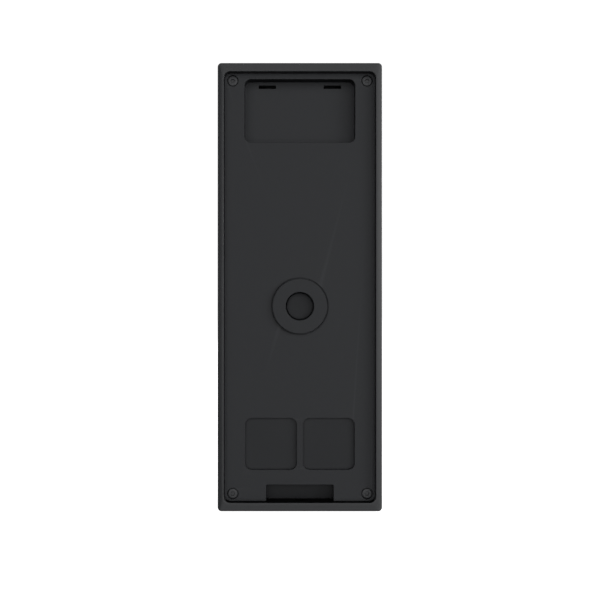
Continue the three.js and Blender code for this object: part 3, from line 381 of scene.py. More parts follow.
WAVE_SCALE = 0.314  # what a wave texture's scale has to be for waves of unit length
BOX_FADE = 0.98  # a box mask fades from this share of its half sides outwards
RAISED = (0.58, 0.66)  # the pointiness where an edge starts to show as raised, and where it does in full


class Nodes:
    """A shader node tree under construction."""

    def __init__(self, tree):
        self.tree = tree

    def node(self, kind, **settings):
        made = self.tree.nodes.new(kind)
        for name, value in settings.items():
            setattr(made, name, value)
        return made

    def feed(self, socket, source):
        if isinstance(source, bpy.types.NodeSocket):
            self.tree.links.new(source, socket)
        else:
            socket.default_value = source

    def spread(self, value, low, high, start=0.3, end=0.7):
        """A value stretched from start and end to low and high, and held there beyond them."""
        made = self.node("ShaderNodeMapRange")
        inputs = {"Value": value, "From Min": start, "From Max": end, "To Min": low, "To Max": high}
        for socket, source in inputs.items():
            self.feed(made.inputs[socket], source)
        return made.outputs["Result"]

    def combined(self, first, second, operation="ADD"):
        made = self.node("ShaderNodeMath", operation=operation)
        self.feed(made.inputs[0], first)
        self.feed(made.inputs[1], second)
        return made.outputs["Value"]


class Finish(Nodes):
    """A procedural material on one Principled shader. Sizes are in millimetres on the object."""

    def __init__(self, name, **sockets):
        self.material = bpy.data.materials.new(name)
        self.material.use_nodes = True
        super().__init__(self.material.node_tree)
        self.shader = self.tree.nodes["Principled BSDF"]
        for socket, value in sockets.items():
            self.shader.inputs[socket.replace("_", " ")].default_value = value
        self.place = self.node("ShaderNodeTexCoord").outputs["Object"]
        self.normal = None

    def stretched(self, x=1.0, y=1.0, z=1.0):
        """Coordinates in which a pattern comes out longer along an axis."""
        mapping = self.node("ShaderNodeMapping")
        mapping.inputs["Scale"].default_value = (1 / x, 1 / y, 1 / z)
        self.feed(mapping.inputs["Vector"], self.place)
        return mapping.outputs["Vector"]

    def noise(self, size, detail=2.0, place=None):
        made = self.node("ShaderNodeTexNoise")
        self.feed(made.inputs["Vector"], place or self.place)
        made.inputs["Scale"].default_value = 1 / (size * MM)
        made.inputs["Detail"].default_value = detail
        return made.outputs["Fac"]

    def cells(self, size, feature="F1", randomness=1.0):
        made = self.node("ShaderNodeTexVoronoi", feature=feature)
        made.inputs["Randomness"].default_value = randomness
        self.feed(made.inputs["Vector"], self.place)
        made.inputs["Scale"].default_value = 1 / (size * MM)
        return made.outputs["Distance"]

    def waves(self, size, direction):
        made = self.node("ShaderNodeTexWave", wave_type="BANDS", bands_direction=direction)
        self.feed(made.inputs["Vector"], self.place)
        made.inputs["Scale"].default_value = WAVE_SCALE / (size * MM)
        return made.outputs["Fac"]

    def blend(self, share, first, second):
        made = self.node("ShaderNodeMix", data_type="RGBA")
        self.feed(made.inputs[0], share)
        self.feed(made.inputs[6], first)
        self.feed(made.inputs[7], second)
        return made.outputs[2]

    def inside(self, centre, half):
        """1 inside a box of the object and 0 outside it."""
        mapping = self.node("ShaderNodeMapping", vector_type="TEXTURE")
        mapping.inputs["Location"].default_value = [c * MM for c in centre]
        mapping.inputs["Scale"].default_value = [h * MM for h in half]
        self.feed(mapping.inputs["Vector"], self.place)
        size = self.node("ShaderNodeVectorMath", operation="ABSOLUTE")
        self.feed(size.inputs[0], mapping.outputs["Vector"])
        axes = self.node("ShaderNodeSeparateXYZ")
        self.feed(axes.inputs["Vector"], size.outputs["Vector"])
        across = self.combined(axes.outputs["X"], axes.outputs["Y"], "MAXIMUM")
        most = self.combined(across, axes.outputs["Z"], "MAXIMUM")
        return self.spread(most, 1, 0, BOX_FADE, 1.0)

    def edges(self):
        """1 on the raised edges of the mesh and 0 away from them."""
        return self.spread(self.node("ShaderNodeNewGeometry").outputs["Pointiness"], 0.0, 1.0, *RAISED)

    def bump(self, height, depth):
        """Adds relief of some depth in millimetres."""
        made = self.node("ShaderNodeBump")
        self.feed(made.inputs["Height"], height)
        made.inputs["Distance"].default_value = depth * MM
        made.inputs["Strength"].default_value = 1.0
        if self.normal:
            self.feed(made.inputs["Normal"], self.normal)
        self.normal = made.outputs["Normal"]

    def done(self, color=None, roughness=None, **more):
        for socket, source in (("Base Color", color), ("Roughness", roughness), *more.items()):
            if source is not None:
                self.feed(self.shader.inputs[socket.replace("_", " ")], source)
        if self.normal:
            self.feed(self.shader.inputs["Normal"], self.normal)
        return self.material


def shade(color, factor):
    return (*[c * factor for c in color], 1.0)


def moulded(name, color, roughness, grain=0.16, depth=0.004, polish=0.10, specular=0.5, dulling_and_painted_shade=()):
    """Spark-textured moulding: fine grain, slow clouding, and edges that handling has polished.

    The last argument lists boxes of painted shade, each given by its centre, half its sides and the share of
    colour and shine kept in it.
    """
    f = Finish(name, Specular_IOR_Level=specular)
    cloud = f.noise(17, 3)
    fine = f.noise(grain, 3)
    flow = f.noise(3.2, 2)
    edge = f.edges()
    base = f.blend(f.spread(cloud, 0, 1), shade(color, 0.95), shade(color, 1.05))
    base = f.blend(f.spread(fine, 0, 1), base, f.blend(0.5, base, shade(color, 1.12)))
    base = f.blend(f.combined(edge, 0.35, "MULTIPLY"), base, shade(color, 1.35))
    rough = f.combined(f.spread(cloud, roughness - 0.02, roughness + 0.02), f.spread(fine, -0.03, 0.03))
    rough = f.combined(rough, f.combined(edge, polish, "MULTIPLY"), "SUBTRACT")
    shine = None
    # Each box paints shade: it darkens the colour and lowers the shine inside it, standing for the shade in a
    # recess.
    for centre, half, kept in dulling_and_painted_shade:
        share = f.inside(centre, half)
        base = f.blend(share, base, shade(color, kept))
        less = f.spread(share, 1, kept, 0, 1)
        shine = f.combined(less, shine or specular, "MULTIPLY")
    f.bump(flow, 0.002)
    f.bump(fine, depth)
    return f.done(base, rough, Specular_IOR_Level=shine)


def polished(name, color, roughness):
    """High-gloss moulding with a faint orange peel, smears and a few settled specks."""
    f = Finish(name, Coat_Weight=0.5, Coat_Roughness=0.04)
    smear = f.noise(9, 4, f.stretched(1, 1, 2.4))
    speck = f.spread(f.cells(1.7), 1, 0, 0.02, 0.05)
    peel = f.noise(1.4, 1)
    smeared = f.spread(smear, roughness, roughness + 0.06, 0.4, 0.75)
    rough = f.combined(smeared, f.combined(speck, 0.2, "MULTIPLY"))
    base = f.blend(f.spread(smear, 0, 1), shade(color, 0.9), shade(color, 1.25))
    base = f.blend(f.combined(speck, 0.25, "MULTIPLY"), base, (0.05, 0.05, 0.05, 1))
    f.bump(peel, 0.0012)
    return f.done(base, rough)


def metal(name, color, roughness, metallic=1.0, along=(1, 1, 6), scratch=0.12):
    """Rolled or turned metal: drawn lines one way, dulled patches and worn edges."""
    f = Finish(name, Metallic=metallic)
    lines = f.noise(scratch, 3, f.stretched(*along))
    dulling_and_painted_shade = f.noise(2.6, 3)
    edge = f.edges()
    base = f.blend(f.spread(dulling_and_painted_shade, 0, 1), shade(color, 0.86), shade(color, 1.08))
    base = f.blend(f.combined(edge, 0.5, "MULTIPLY"), base, shade(color, 1.3))
    rough = f.combined(f.spread(lines, roughness - 0.06, roughness + 0.08), f.spread(dulling_and_painted_shade, -0.04, 0.06))
    f.bump(lines, 0.0015)
    return f.done(base, rough)


def glass(name, tint, roughness=0.0, transmission=1.0):
    """Clear glass or resin with a slight film on it."""
    f = Finish(name, IOR=1.49, Transmission_Weight=transmission)
    film = f.noise(4.5, 4)
    base = f.blend(f.spread(film, 0, 1), shade(tint, 0.96), shade(tint, 1.0))
    f.bump(f.noise(2.2, 1), 0.0001)
    return f.done(base, f.spread(film, roughness, roughness + 0.03, 0.45, 0.75))


def board(name):
    """Solder mask over copper tracks, with plated holes."""
    f = Finish(name)
    tracks = f.node("ShaderNodeTexBrick", offset=0.37, squash=1.6, squash_frequency=3)
    turned = f.node("ShaderNodeMapping")
    turned.inputs["Rotation"].default_value = (math.pi / 2, 0, 0)
    f.feed(turned.inputs["Vector"], f.place)
    f.feed(tracks.inputs["Vector"], turned.outputs["Vector"])
    layout = {"Scale": 240, "Mortar Size": 0.035, "Brick Width": 0.9, "Row Height": 0.31}
    for socket, value in layout.items():
        tracks.inputs[socket].default_value = value
    track = tracks.outputs["Fac"]
    hole = f.spread(f.cells(2.1), 1, 0, 0.10, 0.13)
    weave = f.noise(0.35, 2)
    base = f.blend(track, (0.006, 0.060, 0.026, 1), (0.012, 0.105, 0.045, 1))
    base = f.blend(f.spread(weave, 0, 0.4), base, (0.004, 0.045, 0.020, 1))
    base = f.blend(hole, base, (0.62, 0.45, 0.18, 1))
    f.bump(track, 0.03)
    f.bump(weave, 0.004)
    return f.done(base, f.spread(weave, 0.28, 0.4), Metallic=hole)


def foamed(name, color):
    """Open-cell foam."""
    f = Finish(name)
    cell = f.cells(0.45)
    base = f.blend(f.spread(cell, 0, 1, 0.1, 0.6), shade(color, 0.5), shade(color, 1.2))
    f.bump(cell, 0.08)
    return f.done(base, f.spread(cell, 0.85, 0.98))


def woven(name, color):
    """Fine square-woven cloth."""
    f = Finish(name, Sheen_Weight=0.15)
    thread = 0.28
    weave = f.combined(f.waves(thread, "X"), f.waves(thread, "Z"), "MULTIPLY")
    fuzz = f.noise(0.12, 2)
    base = f.blend(f.spread(weave, 0, 1, 0.1, 0.8), shade(color, 0.35), shade(color, 1.3))
    f.bump(weave, 0.06)
    f.bump(fuzz, 0.01)
    return f.done(base, f.spread(fuzz, 0.8, 0.95))


def pouch(name):
    """The crimped laminate of a battery cell."""
    f = Finish(name, Metallic=0.75)
    crease = f.noise(6, 5, f.stretched(1, 1, 1.8))
    fine = f.noise(0.3, 2)
    base = f.blend(f.spread(crease, 0, 1), (0.34, 0.35, 0.37, 1), (0.46, 0.47, 0.50, 1))
    f.bump(crease, 0.12)
    f.bump(fine, 0.004)
    return f.done(base, f.spread(fine, 0.34, 0.46))


def milky(name):
    """The diffuser of a light: white resin that light sinks into."""
    f = Finish(name, Subsurface_Weight=0.4, Subsurface_Scale=0.002)
    cloud = f.noise(5, 3)
    fine = f.noise(0.1, 2)
    base = f.blend(f.spread(cloud, 0, 1), (0.66, 0.68, 0.71, 1), (0.76, 0.77, 0.79, 1))
    f.bump(fine, 0.002)
    return f.done(base, f.spread(fine, 0.32, 0.44))


def faceted(name):
    """The smoked window of a movement sensor, with a honeycomb of small lenses moulded in it."""
    f = Finish(name, Coat_Weight=0.3, Coat_Roughness=0.15)
    facet, unevenness = 1.3, 0.1
    lens = f.cells(facet, "SMOOTH_F1", unevenness)
    border = f.spread(f.cells(facet, "DISTANCE_TO_EDGE", unevenness), 0, 1, 0.0, 0.1)
    base = f.blend(border, (0.004, 0.004, 0.005, 1), (0.014, 0.014, 0.016, 1))
    f.bump(border, 0.03)
    f.bump(lens, 0.06)
    return f.done(base, f.spread(f.noise(0.2), 0.24, 0.34))


def baffled(name):
    """Matt black moulding of the lens, with a fine anti-glare texture."""
    f = Finish(name, Specular_IOR_Level=0.35)
    fine = f.noise(0.09, 2)
    cloud = f.noise(3, 3)
    base = f.blend(f.spread(cloud, 0, 1), (0.0045, 0.0045, 0.005, 1), (0.007, 0.007, 0.008, 1))
    f.bump(fine, 0.004)
    return f.done(base, f.spread(fine, 0.5, 0.66))


# Boxes of painted shade, where the mouldings are darkened to stand for the shade in the recesses and on the
# walls deep in them: centre, half sides, and the share of colour and shine that is kept.
BOTTOM_WALL_PAINTED_SHADE = ((0, -4.9, -66.1), (24.0, 4.72, 3.1), 0.05)
LOCK_BORE_PAINTED_SHADE = ((0, LOCK_HOLE["y"], BOTTOM + 1.3), (1.9, 1.9, 1.2), 0.05)
NOTCH_FLOOR_PAINTED_SHADE = ((0, -7.4, -66.2), (11.0, 3.9, 2.75), 0.58)
PAD_SEAT_PAINTED_SHADES = [((side * PAD_SEAT["x"], -3.9, PAD_SEAT["z"]), (8.4, 0.85, 8.4), 0.88) for side in (-1, 1)]
COLLAR_HOLE_PAINTED_SHADE = ((0, -4.0, collar_z), (4.45, 2.0, 4.45), 0.78)
FINISHES = {
    # The casing's bottom wall in the notch and its lock bore get painted shade.
    "casing_plastic": lambda n: moulded(
        n, (0.0285, 0.0296, 0.0320), 0.36, grain=0.13, depth=0.002, specular=0.28,
        dulling_and_painted_shade=[BOTTOM_WALL_PAINTED_SHADE, LOCK_BORE_PAINTED_SHADE],
    ),
    # The plate's notch floor, collar hole and pad seats get painted shade.
    "plate_plastic": lambda n: moulded(
        n, (0.0283, 0.0295, 0.0322), 0.60, depth=0.003, specular=0.20,
        dulling_and_painted_shade=[NOTCH_FLOOR_PAINTED_SHADE, COLLAR_HOLE_PAINTED_SHADE, *PAD_SEAT_PAINTED_SHADES],
    ),
    "gloss_plastic": lambda n: polished(n, (0.0042, 0.0043, 0.0048), 0.08),
    "rubber": lambda n: moulded(
        n, (0.0115, 0.0118, 0.0125), 0.78, grain=0.3, depth=0.006, polish=0.2, specular=0.35
    ),
    "black_steel": lambda n: metal(
        n, (0.031, 0.032, 0.035), 0.50, metallic=0.25, along=(1, 1, 1), scratch=0.09
    ),
    "bright_steel": lambda n: metal(n, (0.56, 0.57, 0.58), 0.30),
    "glass": lambda n: glass(n, (0.86, 0.90, 0.94)),
    "lens_black": baffled,
    "diffuser": milky,
    "sensor_window": faceted,
    "circuit_board": board,
    "black_moulding": lambda n: moulded(n, (0.010, 0.0102, 0.011), 0.5, grain=0.1),
    "cell_pouch": pouch,
    "grey_moulding": lambda n: moulded(n, (0.085, 0.088, 0.094), 0.55, grain=0.2),
    "foam": lambda n: foamed(n, (0.030, 0.030, 0.032)),
    "lead_insulation": lambda n: moulded(
        n, (0.24, 0.012, 0.010), 0.38, grain=0.4, depth=0.003, polish=0.05
    ),
    "clear_resin": lambda n: glass(n, (0.80, 0.82, 0.85), roughness=0.06, transmission=0.85),
    "brass": lambda n: metal(n, (0.58, 0.38, 0.13), 0.30),
}
MATERIAL_OF = {name: build(name) for name, build in FINISHES.items()}


# ---------- casing and plate


def casing():
    s = Shape()
    outer = rounded_rect(BODY_WIDTH, BODY_HEIGHT, BODY_CORNER)
    inner = rounded_rect(RECESS_WIDTH, RECESS_HEIGHT, RIM_CORNER)
    edge, y_outer, y_inner = CASING_EDGE, -RIM_FALL["outer"], -RIM_FALL["inner"]
    outside = softened([
        (2 * edge, Y_CASING_FRONT), (0, Y_CASING_FRONT, edge), (0, y_outer, RIM_ROUND), (RIM_ROUND, y_outer)
    ])
    inside = softened([(-edge, y_inner), (0, y_inner, edge), (0, Y_CASING_FRONT)])
    end_lift = RIM_FALL["outer"] - RIM_FALL["ends"]
    turns = [start + 90 * i / CORNER_STEPS for start in (-90, 0, 90, 180) for i in range(CORNER_STEPS + 1)]
    lifts = [end_lift * math.sin(math.radians(turn)) ** 2 for turn in turns]

    def lifted(loop, y, share):
        """A ring that rises along the casing's two ends, where the rim falls less."""
        return [s.vertex(u, v, y + lift * share) for (u, v), lift in zip(loop, lifts)]

    rings = [lifted(inset(outer, d), y, 1 if y > Y_CASING_FRONT / 2 else 0) for d, y in outside]
    start, end = inset(outer, RIM_ROUND), inset(inner, -edge)
    for i in range(1, RIM_STEPS):
        share = i / RIM_STEPS
        slope = max(1 - share / RIM_RIDGE, 0) ** RIM_BEND
        y = y_outer * slope if share < RIM_RIDGE else y_inner * ((share - RIM_RIDGE) / (1 - RIM_RIDGE)) ** 2
        rings.append(lifted(between(start, end, share), y, slope))
    rings += [s.ring(inset(inner, d), y) for d, y in inside]
    walls = (1 + ROUND_STEPS, len(rings) - 2)  # the strips that the bottom holes pass through
    last = len(outer) - 1
    for i, (a, b) in enumerate(zip(rings, rings[1:])):
        s.strip(a, b, skip=(last,) if i in walls else ())
    s.fill(rings[0], rings[-1])

    port_y = centre_of("charge_port").y
    s.across(upright=True)
    seat_top = BOTTOM + COVER_SEAT["depth"]

    def bottom_hole(loop, top):
        edge = BOTTOM_HOLE_EDGE
        return s.loft(loop, softened([(-edge, BOTTOM), (0, BOTTOM, edge), (0, top)]))

    lock = bottom_hole(circle(LOCK_HOLE["radius"], 0, LOCK_HOLE["y"], SMALL_SIDES), FLOOR)
    seat = bottom_hole(
        rounded_rect(COVER_SEAT["width"], COVER_SEAT["height"], COVER_SEAT["height"] / 2, 0, port_y), seat_top
    )
    port = s.loft(
        rounded_rect(PORT_HOLE["width"], PORT_HOLE["height"], PORT_HOLE["height"] / 2, 0, port_y),
        [(0, seat_top), (0, FLOOR)],
    )
    s.fill(seat[-1], port[0])
    s.across(upright=False)
    for wall, holes in zip(walls, ((lock[0], seat[0]), (lock[-1], port[-1]))):
        a, b = rings[wall], rings[wall + 1]
        s.fill([a[last], a[0], b[0], b[last]], *holes)

    bite = 2 * LEDGE["bite"]
    ledge_outline = rounded_rect(RECESS_WIDTH + bite, RECESS_HEIGHT + bite, RIM_CORNER)
    s.surround(ledge_outline, stepped(LEDGE["inset"]), LEDGE["rear"], LEDGE["front"])
    y_post = Y_PLATE_INSIDE - POST["slip"]
    for sx, sz in CORNERS:
        tube(s, POST, y_post, y_post - POST["length"], sx * screw_x, sz * screw_z)
    return piece("casing", s)


def tube(shape, size, first, last, x, z):
    """A post with a hole for a screw, between two levels."""
    hole, radius = size["hole"], size["radius"]
    shape.turned([(hole, first), (radius, first), (radius, last), (hole, last)], x, z, SMALL_SIDES)


def stepped(distance):
    """The outline of the plate's skirt, stepped in round the corner posts."""
    w, h = PLATE_WIDTH / 2 - distance, PLATE_HEIGHT / 2 - distance
    in_x, in_z = PLATE_WIDTH / 2 - POST_STEP["x"] - distance, PLATE_HEIGHT / 2 - POST_STEP["z"] - distance
    quarter = [(w, in_z), (in_x, in_z), (in_x, h)]
    right = [(x, -z) for x, z in reversed(quarter)] + quarter
    return right + [(-x, -z) for x, z in right]


def notch_outline(corner_z):
    """The notch's side, top and side, from its left foot to its right foot."""
    half, top, r = NOTCH["width"] / 2, NOTCH["top"], NOTCH["corner"]
    loop = [(-half, corner_z)]
    for cx, start in ((-half + r, 180), (half - r, 90)):
        for i in range(CORNER_STEPS + 1):
            turn = math.radians(start - 90 * i / CORNER_STEPS)
            loop.append((cx + r * math.cos(turn), top - r + r * math.sin(turn)))
    return [*loop, (half, corner_z)]


def rear_plate():
    s = Shape()
    e = PLATE_EDGE
    foot = PLATE_GAP - RECESS_HEIGHT / 2
    outline = rounded_rect(RECESS_WIDTH - 2 * PLATE_GAP, -2 * foot, RIM_CORNER - PLATE_GAP)
    border = s.loft(
        outline + notch_outline(foot),
        softened([(e + FLAT, Y_PLATE), (e, Y_PLATE), (0, Y_PLATE, e), (0, Y_PLATE_INSIDE)]),
    )
    face_holes, inside_holes = [], []

    def sunk(loop, floor, edge, fillet):
        """A recess with a rounded rear edge and a filleted floor. Gives the ring round its floor."""
        profile = [(-edge - FLAT, Y_PLATE), (-edge, Y_PLATE), (0, Y_PLATE, edge), (0, floor, fillet),
                   (fillet, floor), (fillet + FLAT, floor)]
        rings = s.loft(loop, softened(profile))
        face_holes.append(rings[0])
        return rings[-1]

    pocket = rounded_rect(POCKET["width"], POCKET["height"], POCKET["corner"], 0, POCKET["z"])
    pocket_floor = sunk(pocket, POCKET["floor"], e, POCKET["fillet"])
    slots, slot_edge = [], HOOK_SLOT["edge"]
    for side in (-1, 1):
        slot = rounded_rect(*[HOOK_SLOT[key] for key in ("width", "height", "corner")], side * HOOK_SLOT["x"],
                            HOOK_SLOT["z"])
        slots.append(s.loft(slot, softened([
            (-slot_edge, POCKET["floor"]), (0, POCKET["floor"], slot_edge), (0, Y_SKIRT_END)
        ])))
    s.fill(pocket_floor, *[slot[0] for slot in slots])
    tub_top = plate_high.z - POCKET_TOP_WALL
    tub_bottom = POCKET["z"] - POCKET["height"] / 2 - POCKET["wall"]
    tub_corner = 0.3
    tub = rounded_rect(POCKET["width"] + 2 * POCKET["wall"], tub_top - tub_bottom, tub_corner, 0,
                       (tub_top + tub_bottom) / 2)
    tub_rings = s.loft(tub, [(0, Y_PLATE_INSIDE), (0, Y_SKIRT_END)])
    inside_holes.append(tub_rings[0])
    s.fill(tub_rings[1], *[slot[-1] for slot in slots])

    for side in (-1, 1):
        size = PAD_SEAT["size"]
        seat = rounded_rect(size, size, PAD_SEAT["corner"], side * PAD_SEAT["x"], PAD_SEAT["z"])
        s.fill(sunk(seat, *[PAD_SEAT[key] for key in ("floor", "edge", "fillet")]))

    for sx, sz in CORNERS:
        x, z = sx * screw_x, sz * screw_z
        floor = sunk(circle(COUNTERBORE["radius"], x, z, SMALL_SIDES),
                     *[COUNTERBORE[key] for key in ("floor", "edge", "fillet")])
        hole = s.loft(circle(COUNTERBORE["hole"], x, z, SMALL_SIDES),
                      [(0, COUNTERBORE["floor"]), (0, Y_PLATE_INSIDE)])
        s.fill(floor, hole[0])
        inside_holes.append(hole[1])

    wide, groove, y_groove = COLLAR["outer"] - COLLAR["bore"], COLLAR["groove"], Y_PLATE - COLLAR["groove"]
    lip = COLLAR["groove_edge"]
    collar = s.loft(circle(COLLAR["outer"], 0, collar_z), softened([
        (-groove - lip - FLAT, Y_PLATE), (-groove - lip, Y_PLATE), (-groove, Y_PLATE, lip),
        (-groove, y_groove), (0, y_groove), (0, COLLAR["top"], COLLAR["edge"]),
        (wide, COLLAR["top"], COLLAR["edge"]), (wide, Y_PLATE_INSIDE),
    ]))
    face_holes.append(collar[0])
    inside_holes.append(collar[-1])
    s.fill(border[0], *face_holes)
    s.fill(border[-1], *inside_holes)

    half, crown = NOTCH["width"] / 2 + NOTCH["wall"], NOTCH["top"] + NOTCH["wall"]
    block = [(half, foot), (half, crown), (-half, crown), (-half, foot)]
    s.prism([*block, *notch_outline(foot)], Y_PLATE_INSIDE, NOTCH["floor"])
    s.prism(block, NOTCH["floor"], Y_SKIRT_END)

    def skirt_side(distance):
        """One side of the skirt, which stops at the notch."""
        side, low = NOTCH["width"] / 2, distance - PLATE_HEIGHT / 2
        return [(side, low), *stepped(distance), (-side, low)]

    s.prism(skirt_side(0) + [(-x, z) for x, z in skirt_side(SKIRT)], Y_PLATE_INSIDE, Y_SKIRT_END)
    y_guide = Y_PLATE_INSIDE - GUIDE["depth"]
    bore, rim = GUIDE["bore"], GUIDE["bore"] + GUIDE["wall"]
    s.turned([(bore, Y_PLATE_INSIDE), (rim, Y_PLATE_INSIDE), (rim, y_guide), (bore, y_guide)], 0, collar_z)
    return piece("rear_plate", s)


def tamper_plunger():
    low, high = box_mm("tamper_plunger")
    head, stem, crown, lip = PLUNGER["head"], PLUNGER["stem"], PLUNGER["crown"], (high.x - low.x) / 2
    y_lip = Y_PLATE_INSIDE - PLUNGER["slip"]
    y_lip_end = y_lip - PLUNGER["lip"]
    s = Shape()
    s.turned(softened([
        (0, high.y - crown), (PLUNGER["flat"], high.y - crown / 2), (head, high.y, PLUNGER["edge"]),
        (head, y_lip), (lip, y_lip), (lip, y_lip_end), (stem, y_lip_end), (stem, low.y), (0, low.y),
    ]), 0, collar_z)
    return piece("tamper_plunger", s)


def plate_screw(node):
    """A pan-head screw with a six-lobed socket and a rolled thread."""
    low, high = box_mm(node)
    x, z = (low.x + high.x) / 2, (low.z + high.z) / 2
    head, shank, crown = PLATE_SCREW["head"], PLATE_SCREW["shank"], PLATE_SCREW["crown"]
    pitch = THREAD["pitch"]
    y_seat = high.y - PLATE_SCREW["height"]
    profile = softened([
        (SOCKET["rim"], high.y), (head, high.y - crown, PLATE_SCREW["edge"]), (head, y_seat, crown),
        (PLATE_SCREW["neck"], y_seat),
    ])
    turns = int((y_seat - low.y - THREAD["run_out"]) / pitch)
    for i in range(2 * turns):
        profile.append((shank if i % 2 else THREAD["root"], y_seat - THREAD["start"] - i * pitch / 2))
    profile.append((PLATE_SCREW["tip"], low.y))
    s = Shape()
    rings = [s.ring(circle(r, x, z, SCREW_SIDES), y) for r, y in profile]
    s.strips(rings)
    s.fill(rings[-1])
    edge, y_deep = SOCKET["edge"], high.y - SOCKET["depth"]
    socket = s.loft(star(SOCKET["radius"], SOCKET["lobe"], SOCKET["lobes"], x, z), softened([
        (-edge, high.y), (0, high.y, edge), (0, y_deep), (SOCKET["taper"], y_deep - SOCKET["floor"])
    ]))
    s.strip(rings[0], socket[0])
    s.fill(socket[-1])
    return piece(node, s)


# ---------- front


def front_panel():
    s = Shape()
    back, front = Y_PANEL_BACK, Y_FRONT
    rear_edge = PANEL_BACK_EDGE
    outline = s.loft(rounded_rect(BODY_WIDTH, BODY_HEIGHT, BODY_CORNER), softened([
        (rear_edge + FLAT, back), (rear_edge, back), (0, back, rear_edge), (0, front, PANEL_EDGE),
        (PANEL_EDGE, front), (PANEL_EDGE + FLAT, front)
    ]))
    holes = []

    def through(loop, edge=0.08):
        holes.append(s.loft(loop, softened([
            (-edge - FLAT, back), (-edge, back), (0, back, edge), (0, front, edge), (-edge, front),
            (-edge - FLAT, front)
        ])))

    sill, edge, mouth_edge = LENS_SEAT["sill"], LENS_SEAT["edge"], LENS_SEAT["mouth_edge"]
    step = LENS_SEAT["trim"] - LENS_SEAT["barrel"]
    holes.append(s.loft(circle(LENS_SEAT["barrel"], 0, camera_z), softened([
        (-edge - FLAT, back), (-edge, back), (0, back, edge), (0, sill), (-step, sill),
        (-step, front, mouth_edge), (-step - mouth_edge, front), (-step - mouth_edge - FLAT, front)
    ])))
    for i in range(1, 5):
        led = centre_of(f"infrared_led_{i}")
        through(circle(PANEL_HOLES["infrared_led"], led.x, led.z, SMALL_SIDES))
    pipe = centre_of("light_pipe")
    through(circle(PANEL_HOLES["light_pipe"], pipe.x, pipe.z, SMALL_SIDES))
    through(circle(PANEL_HOLES["movement_sensor"], 0, centre_of("movement_sensor_lens").z))
    through(circle(PANEL_HOLES["microphone"], 0, centre_of("microphone").z, SMALL_SIDES), edge=0.12)
    through(circle(PANEL_HOLES["button"], 0, button_z))
    slot_width, slot_height = SPEAKER_SLOT["width"], SPEAKER_SLOT["height"]
    for i in range(-2, 3):
        slot = rounded_rect(slot_width, slot_height, slot_width / 2, i * SPEAKER_SLOT["spacing"], speaker_z)
        through(slot, SPEAKER_SLOT["edge"])
    s.fill(outline[0], *[hole[0] for hole in holes])
    s.fill(outline[-1], *[hole[-1] for hole in holes])

    outer = rounded_rect(PLATE_WIDTH, PLATE_HEIGHT, PLATE_CORNER)
    s.surround(outer, inset(outer, PANEL_SKIRT["width"]), back + PANEL_SKIRT["depth"], back)
    for carried, screws, count in (("main_board", "board_screw", 4), ("camera_board", "camera_screw", 2)):
        y_boss = box_mm(carried)[0].y - BOSS["slip"]
        for i in range(1, count + 1):
            screw = centre_of(f"{screws}_{i}")
            tube(s, BOSS, y_boss, back, screw.x, screw.z)
    return piece("front_panel", s)


def dome(radius, y_rim, bulge):
    """A profile from the top of a dome to its rim."""
    steps = 14
    turns = [math.pi / 2 * i / steps for i in range(steps + 1)]
    return [(radius * math.sin(t), y_rim - bulge * math.cos(t)) for t in turns]


def lens_trim_ring():
    low, high = box_mm("lens_trim_ring")
    r, mouth, bore, y_sill = (high.x - low.x) / 2, 8.5, 7.4, high.y - 0.4
    groove, groove_width, groove_depth, slant = 9.54, 0.36, 0.12, 0.08
    s = Shape()
    s.turned(softened([
        (bore, high.y), (r, high.y, 0.15), (r, low.y, 0.5), (groove + groove_width, low.y),
        (groove + groove_width - slant, low.y + groove_depth), (groove + slant, low.y + groove_depth),
        (groove, low.y), (mouth, low.y, 0.35), (mouth, y_sill), (bore, y_sill),
    ]), 0, camera_z)
    return piece("lens_trim_ring", s)


def domed(node, bulge, edge=0.08):
    """A round piece with a domed front and a flat rear."""
    low, high = box_mm(node)
    r = (high.x - low.x) / 2
    s = Shape()
    s.turned(softened([*dome(r, low.y + bulge, bulge), (r, high.y, edge), (0, high.y)]),
             (low.x + high.x) / 2, (low.z + high.z) / 2, CIRCLE_SIDES if r > SMALL_RADIUS else SMALL_SIDES)
    return piece(node, s)


def lens_barrel():
    low, high = box_mm("lens_barrel")
    lens_low, lens_high = box_mm("lens_element")
    seat, path, tail, head_length, slip, r = 4.6, 3.2, 5.0, 4.6, 0.1, (high.x - low.x) / 2
    mouth, y_mouth = r - 0.5, lens_low.y
    steps = 4
    rise = (y_mouth - low.y) / (steps + 0.5)
    baffles = []
    for i in range(steps):
        radius = seat + (mouth - seat) * (i + 1) / steps
        baffles += [(radius, y_mouth - i * rise), (radius, y_mouth - (i + 1) * rise)]
    y_rear = lens_high.y + slip
    y_step = low.y + head_length
    s = Shape()
    s.turned(softened([
        (r, low.y, 0.15), (r, y_step), (tail, y_step), (tail, high.y), (path, high.y), (path, y_rear),
        (seat, y_rear), (seat, y_mouth), *baffles, (mouth, low.y),
    ]), 0, camera_z)
    return piece("lens_barrel", s)


def movement_sensor_lens():
    low, high = box_mm("movement_sensor_lens")
    flange, r, wall, bulge = (high.x - low.x) / 2, 5.9, 0.7, 0.8
    y_rim, y_flange = low.y + bulge, high.y - 0.7
    inner = [(radius, y) for radius, y in reversed(dome(r - wall, y_rim + wall, bulge))]
    s = Shape()
    s.turned(softened([
        *dome(r, y_rim, bulge)[:-1], (r, y_rim, 0.1), (r, y_flange), (flange, y_flange), (flange, high.y),
        (r - wall, high.y), *inner,
    ]), 0, centre_of("movement_sensor_lens").z)
    return piece("movement_sensor_lens", s)


